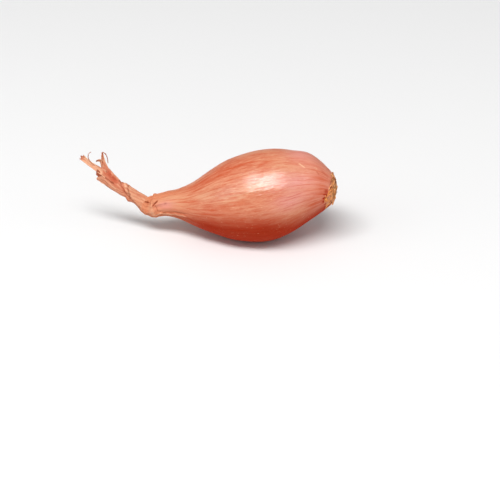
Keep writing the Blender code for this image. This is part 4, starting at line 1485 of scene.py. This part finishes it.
class SHALLOT_OT_stage(bpy.types.Operator):
    """Plain pale floor, soft studio lights and the camera"""

    bl_idname = "shallot.stage"
    bl_label = "Stage"

    # Each light's name, place, size and share of the key's power
    LIGHTS = (
        ("key", (-0.16, -0.66, 1.40), (1.40, 0.42), 1.0),
        ("left fill", (-1.30, -0.60, 0.80), (1.00, 1.00), 0.12),
        ("right fill", (1.20, -0.50, 0.90), (1.00, 1.00), 0.14),
    )
    LIGHTS_AIM = Vector((0.0, 0.0, 0.02))

    # The bulb's middle, how far the camera is rolled, the side of the square photograph, the pixel
    # that it has the middle at, and its scale there
    CAMERA_AIM = Vector((0.0, 0.0, 0.0215))
    CAMERA_ROLL = math.radians(-1.4)
    FRAME_PIXELS = 500.0
    AIM_PIXEL = (255.6, 194.2)
    METRES_A_PIXEL = 0.467 * MM
    SENSOR_WIDTH = 36.0

    def execute(self, context):
        look = settings("stage")
        self.floor(look)
        self.lights(look)
        self.camera(look)
        return {"FINISHED"}

    def floor(self, look):
        """A level square under the shallot, lighter and darker by a hair in soft clouds."""
        size = 3.0
        corners = [(-size, -size, 0.0), (size, -size, 0.0), (size, size, 0.0), (-size, size, 0.0)]
        mesh = bpy.data.meshes.new("floor")
        mesh.from_pydata(corners, [], [(0, 1, 2, 3)])
        made = Nodes("pale_floor")
        cloud = made.noise(made.add("TexCoord", {}, "Object"), (3.0, 3.0, 3.0))
        darker = tuple(0.985 * c for c in look.floor_colour)
        clouds = made.layered(darker, [(cloud, look.floor_colour)])
        mesh.materials.append(made.finished(Base_Color=clouds, Roughness=0.9, Specular_IOR_Level=0.2))
        floor = bpy.data.objects.new("floor", mesh)
        bpy.context.scene.collection.objects.link(floor)

    def lights(self, look):
        """Even room light, a large key above the front, and a fill from each side."""
        world = bpy.data.worlds.new("room")
        world.use_nodes = True
        sky = world.node_tree.nodes["Background"]
        sky.inputs["Color"].default_value = (1.0, 1.0, 1.0, 1.0)
        sky.inputs["Strength"].default_value = look.room_light
        bpy.context.scene.world = world
        for name, place, size, share in self.LIGHTS:
            data = bpy.data.lights.new(name, "AREA")
            data.shape = "RECTANGLE"
            data.size, data.size_y = size
            data.energy = share * look.key_power
            light = bpy.data.objects.new(name, data)
            light.location = place
            light.rotation_euler = (self.LIGHTS_AIM - Vector(place)).to_track_quat("-Z", "Y").to_euler()
            bpy.context.scene.collection.objects.link(light)

    def camera(self, look):
        """Looks at the bulb's middle from the azimuth and elevation, rolled a little, and turned
        so that the middle falls where the photograph has it."""
        a, e = look.azimuth, look.elevation
        back = Vector((math.sin(a) * math.cos(e), -math.cos(a) * math.cos(e), math.sin(e)))
        level = Vector((math.cos(a), math.sin(a), 0.0))
        roll = Matrix.Rotation(self.CAMERA_ROLL, 3, back)
        right, up = roll @ level, roll @ back.cross(level)
        off_x, off_y = (self.METRES_A_PIXEL * (self.FRAME_PIXELS / 2 - p) for p in self.AIM_PIXEL)
        target = self.CAMERA_AIM + right * off_x - up * off_y
        place = self.CAMERA_AIM + back * look.distance
        z = (place - target).normalized()
        x = (right - z * right.dot(z)).normalized()
        data = bpy.data.cameras.new("camera")
        data.sensor_width = self.SENSOR_WIDTH
        view_width = self.FRAME_PIXELS * self.METRES_A_PIXEL
        data.lens = self.SENSOR_WIDTH * (place - target).length / view_width
        data.clip_start = 0.01
        camera = bpy.data.objects.new("camera", data)
        turned = Matrix((x, z.cross(x), z)).transposed().to_4x4()
        camera.matrix_world = Matrix.Translation(place) @ turned
        bpy.context.scene.collection.objects.link(camera)
        bpy.context.scene.camera = camera
        bpy.context.scene.view_settings.view_transform = "Standard"


OPERATORS = (
    SHALLOT_OT_outer_skin,
    SHALLOT_OT_under_skin,
    SHALLOT_OT_neck_leaves,
    SHALLOT_OT_leaf_ends,
    SHALLOT_OT_root_plate,
    SHALLOT_OT_dried_roots,
    SHALLOT_OT_skin_shreds,
    SHALLOT_OT_stage,
)
GROUPS = {"skin": SkinSettings, "neck": NeckSettings, "root": RootSettings, "stage": StageSettings}


class SHALLOT_PT_panel(bpy.types.Panel):
    """Lists the shallot's settings and its pieces"""

    bl_idname = "SHALLOT_PT_panel"
    bl_label = "Banana shallot"
    bl_space_type = "VIEW_3D"
    bl_region_type = "UI"
    bl_category = "Shallot"

    def draw(self, context):
        for name in GROUPS:
            box = self.layout.box()
            box.label(text=name.capitalize())
            group = settings(name)
            for key in group.bl_rna.properties.keys():
                if key not in ("rna_type", "name"):
                    box.prop(group, key)
        for made in OPERATORS:
            self.layout.operator(made.bl_idname)


def register():
    for made in (*GROUPS.values(), *OPERATORS, SHALLOT_PT_panel):
        bpy.utils.register_class(made)
    for name, group in GROUPS.items():
        setattr(bpy.types.Scene, "shallot_" + name, bpy.props.PointerProperty(type=group))


def unregister():
    for name in GROUPS:
        delattr(bpy.types.Scene, "shallot_" + name)
    for made in (SHALLOT_PT_panel, *reversed(OPERATORS), *reversed(GROUPS.values())):
        bpy.utils.unregister_class(made)


def main():
    register()
    bpy.ops.shallot.outer_skin()
    bpy.ops.shallot.under_skin()
    bpy.ops.shallot.neck_leaves()
    bpy.ops.shallot.leaf_ends()
    bpy.ops.shallot.root_plate()
    bpy.ops.shallot.dried_roots()
    bpy.ops.shallot.skin_shreds()
    bpy.ops.shallot.stage()
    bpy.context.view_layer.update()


if __name__ == "__main__":
    main()
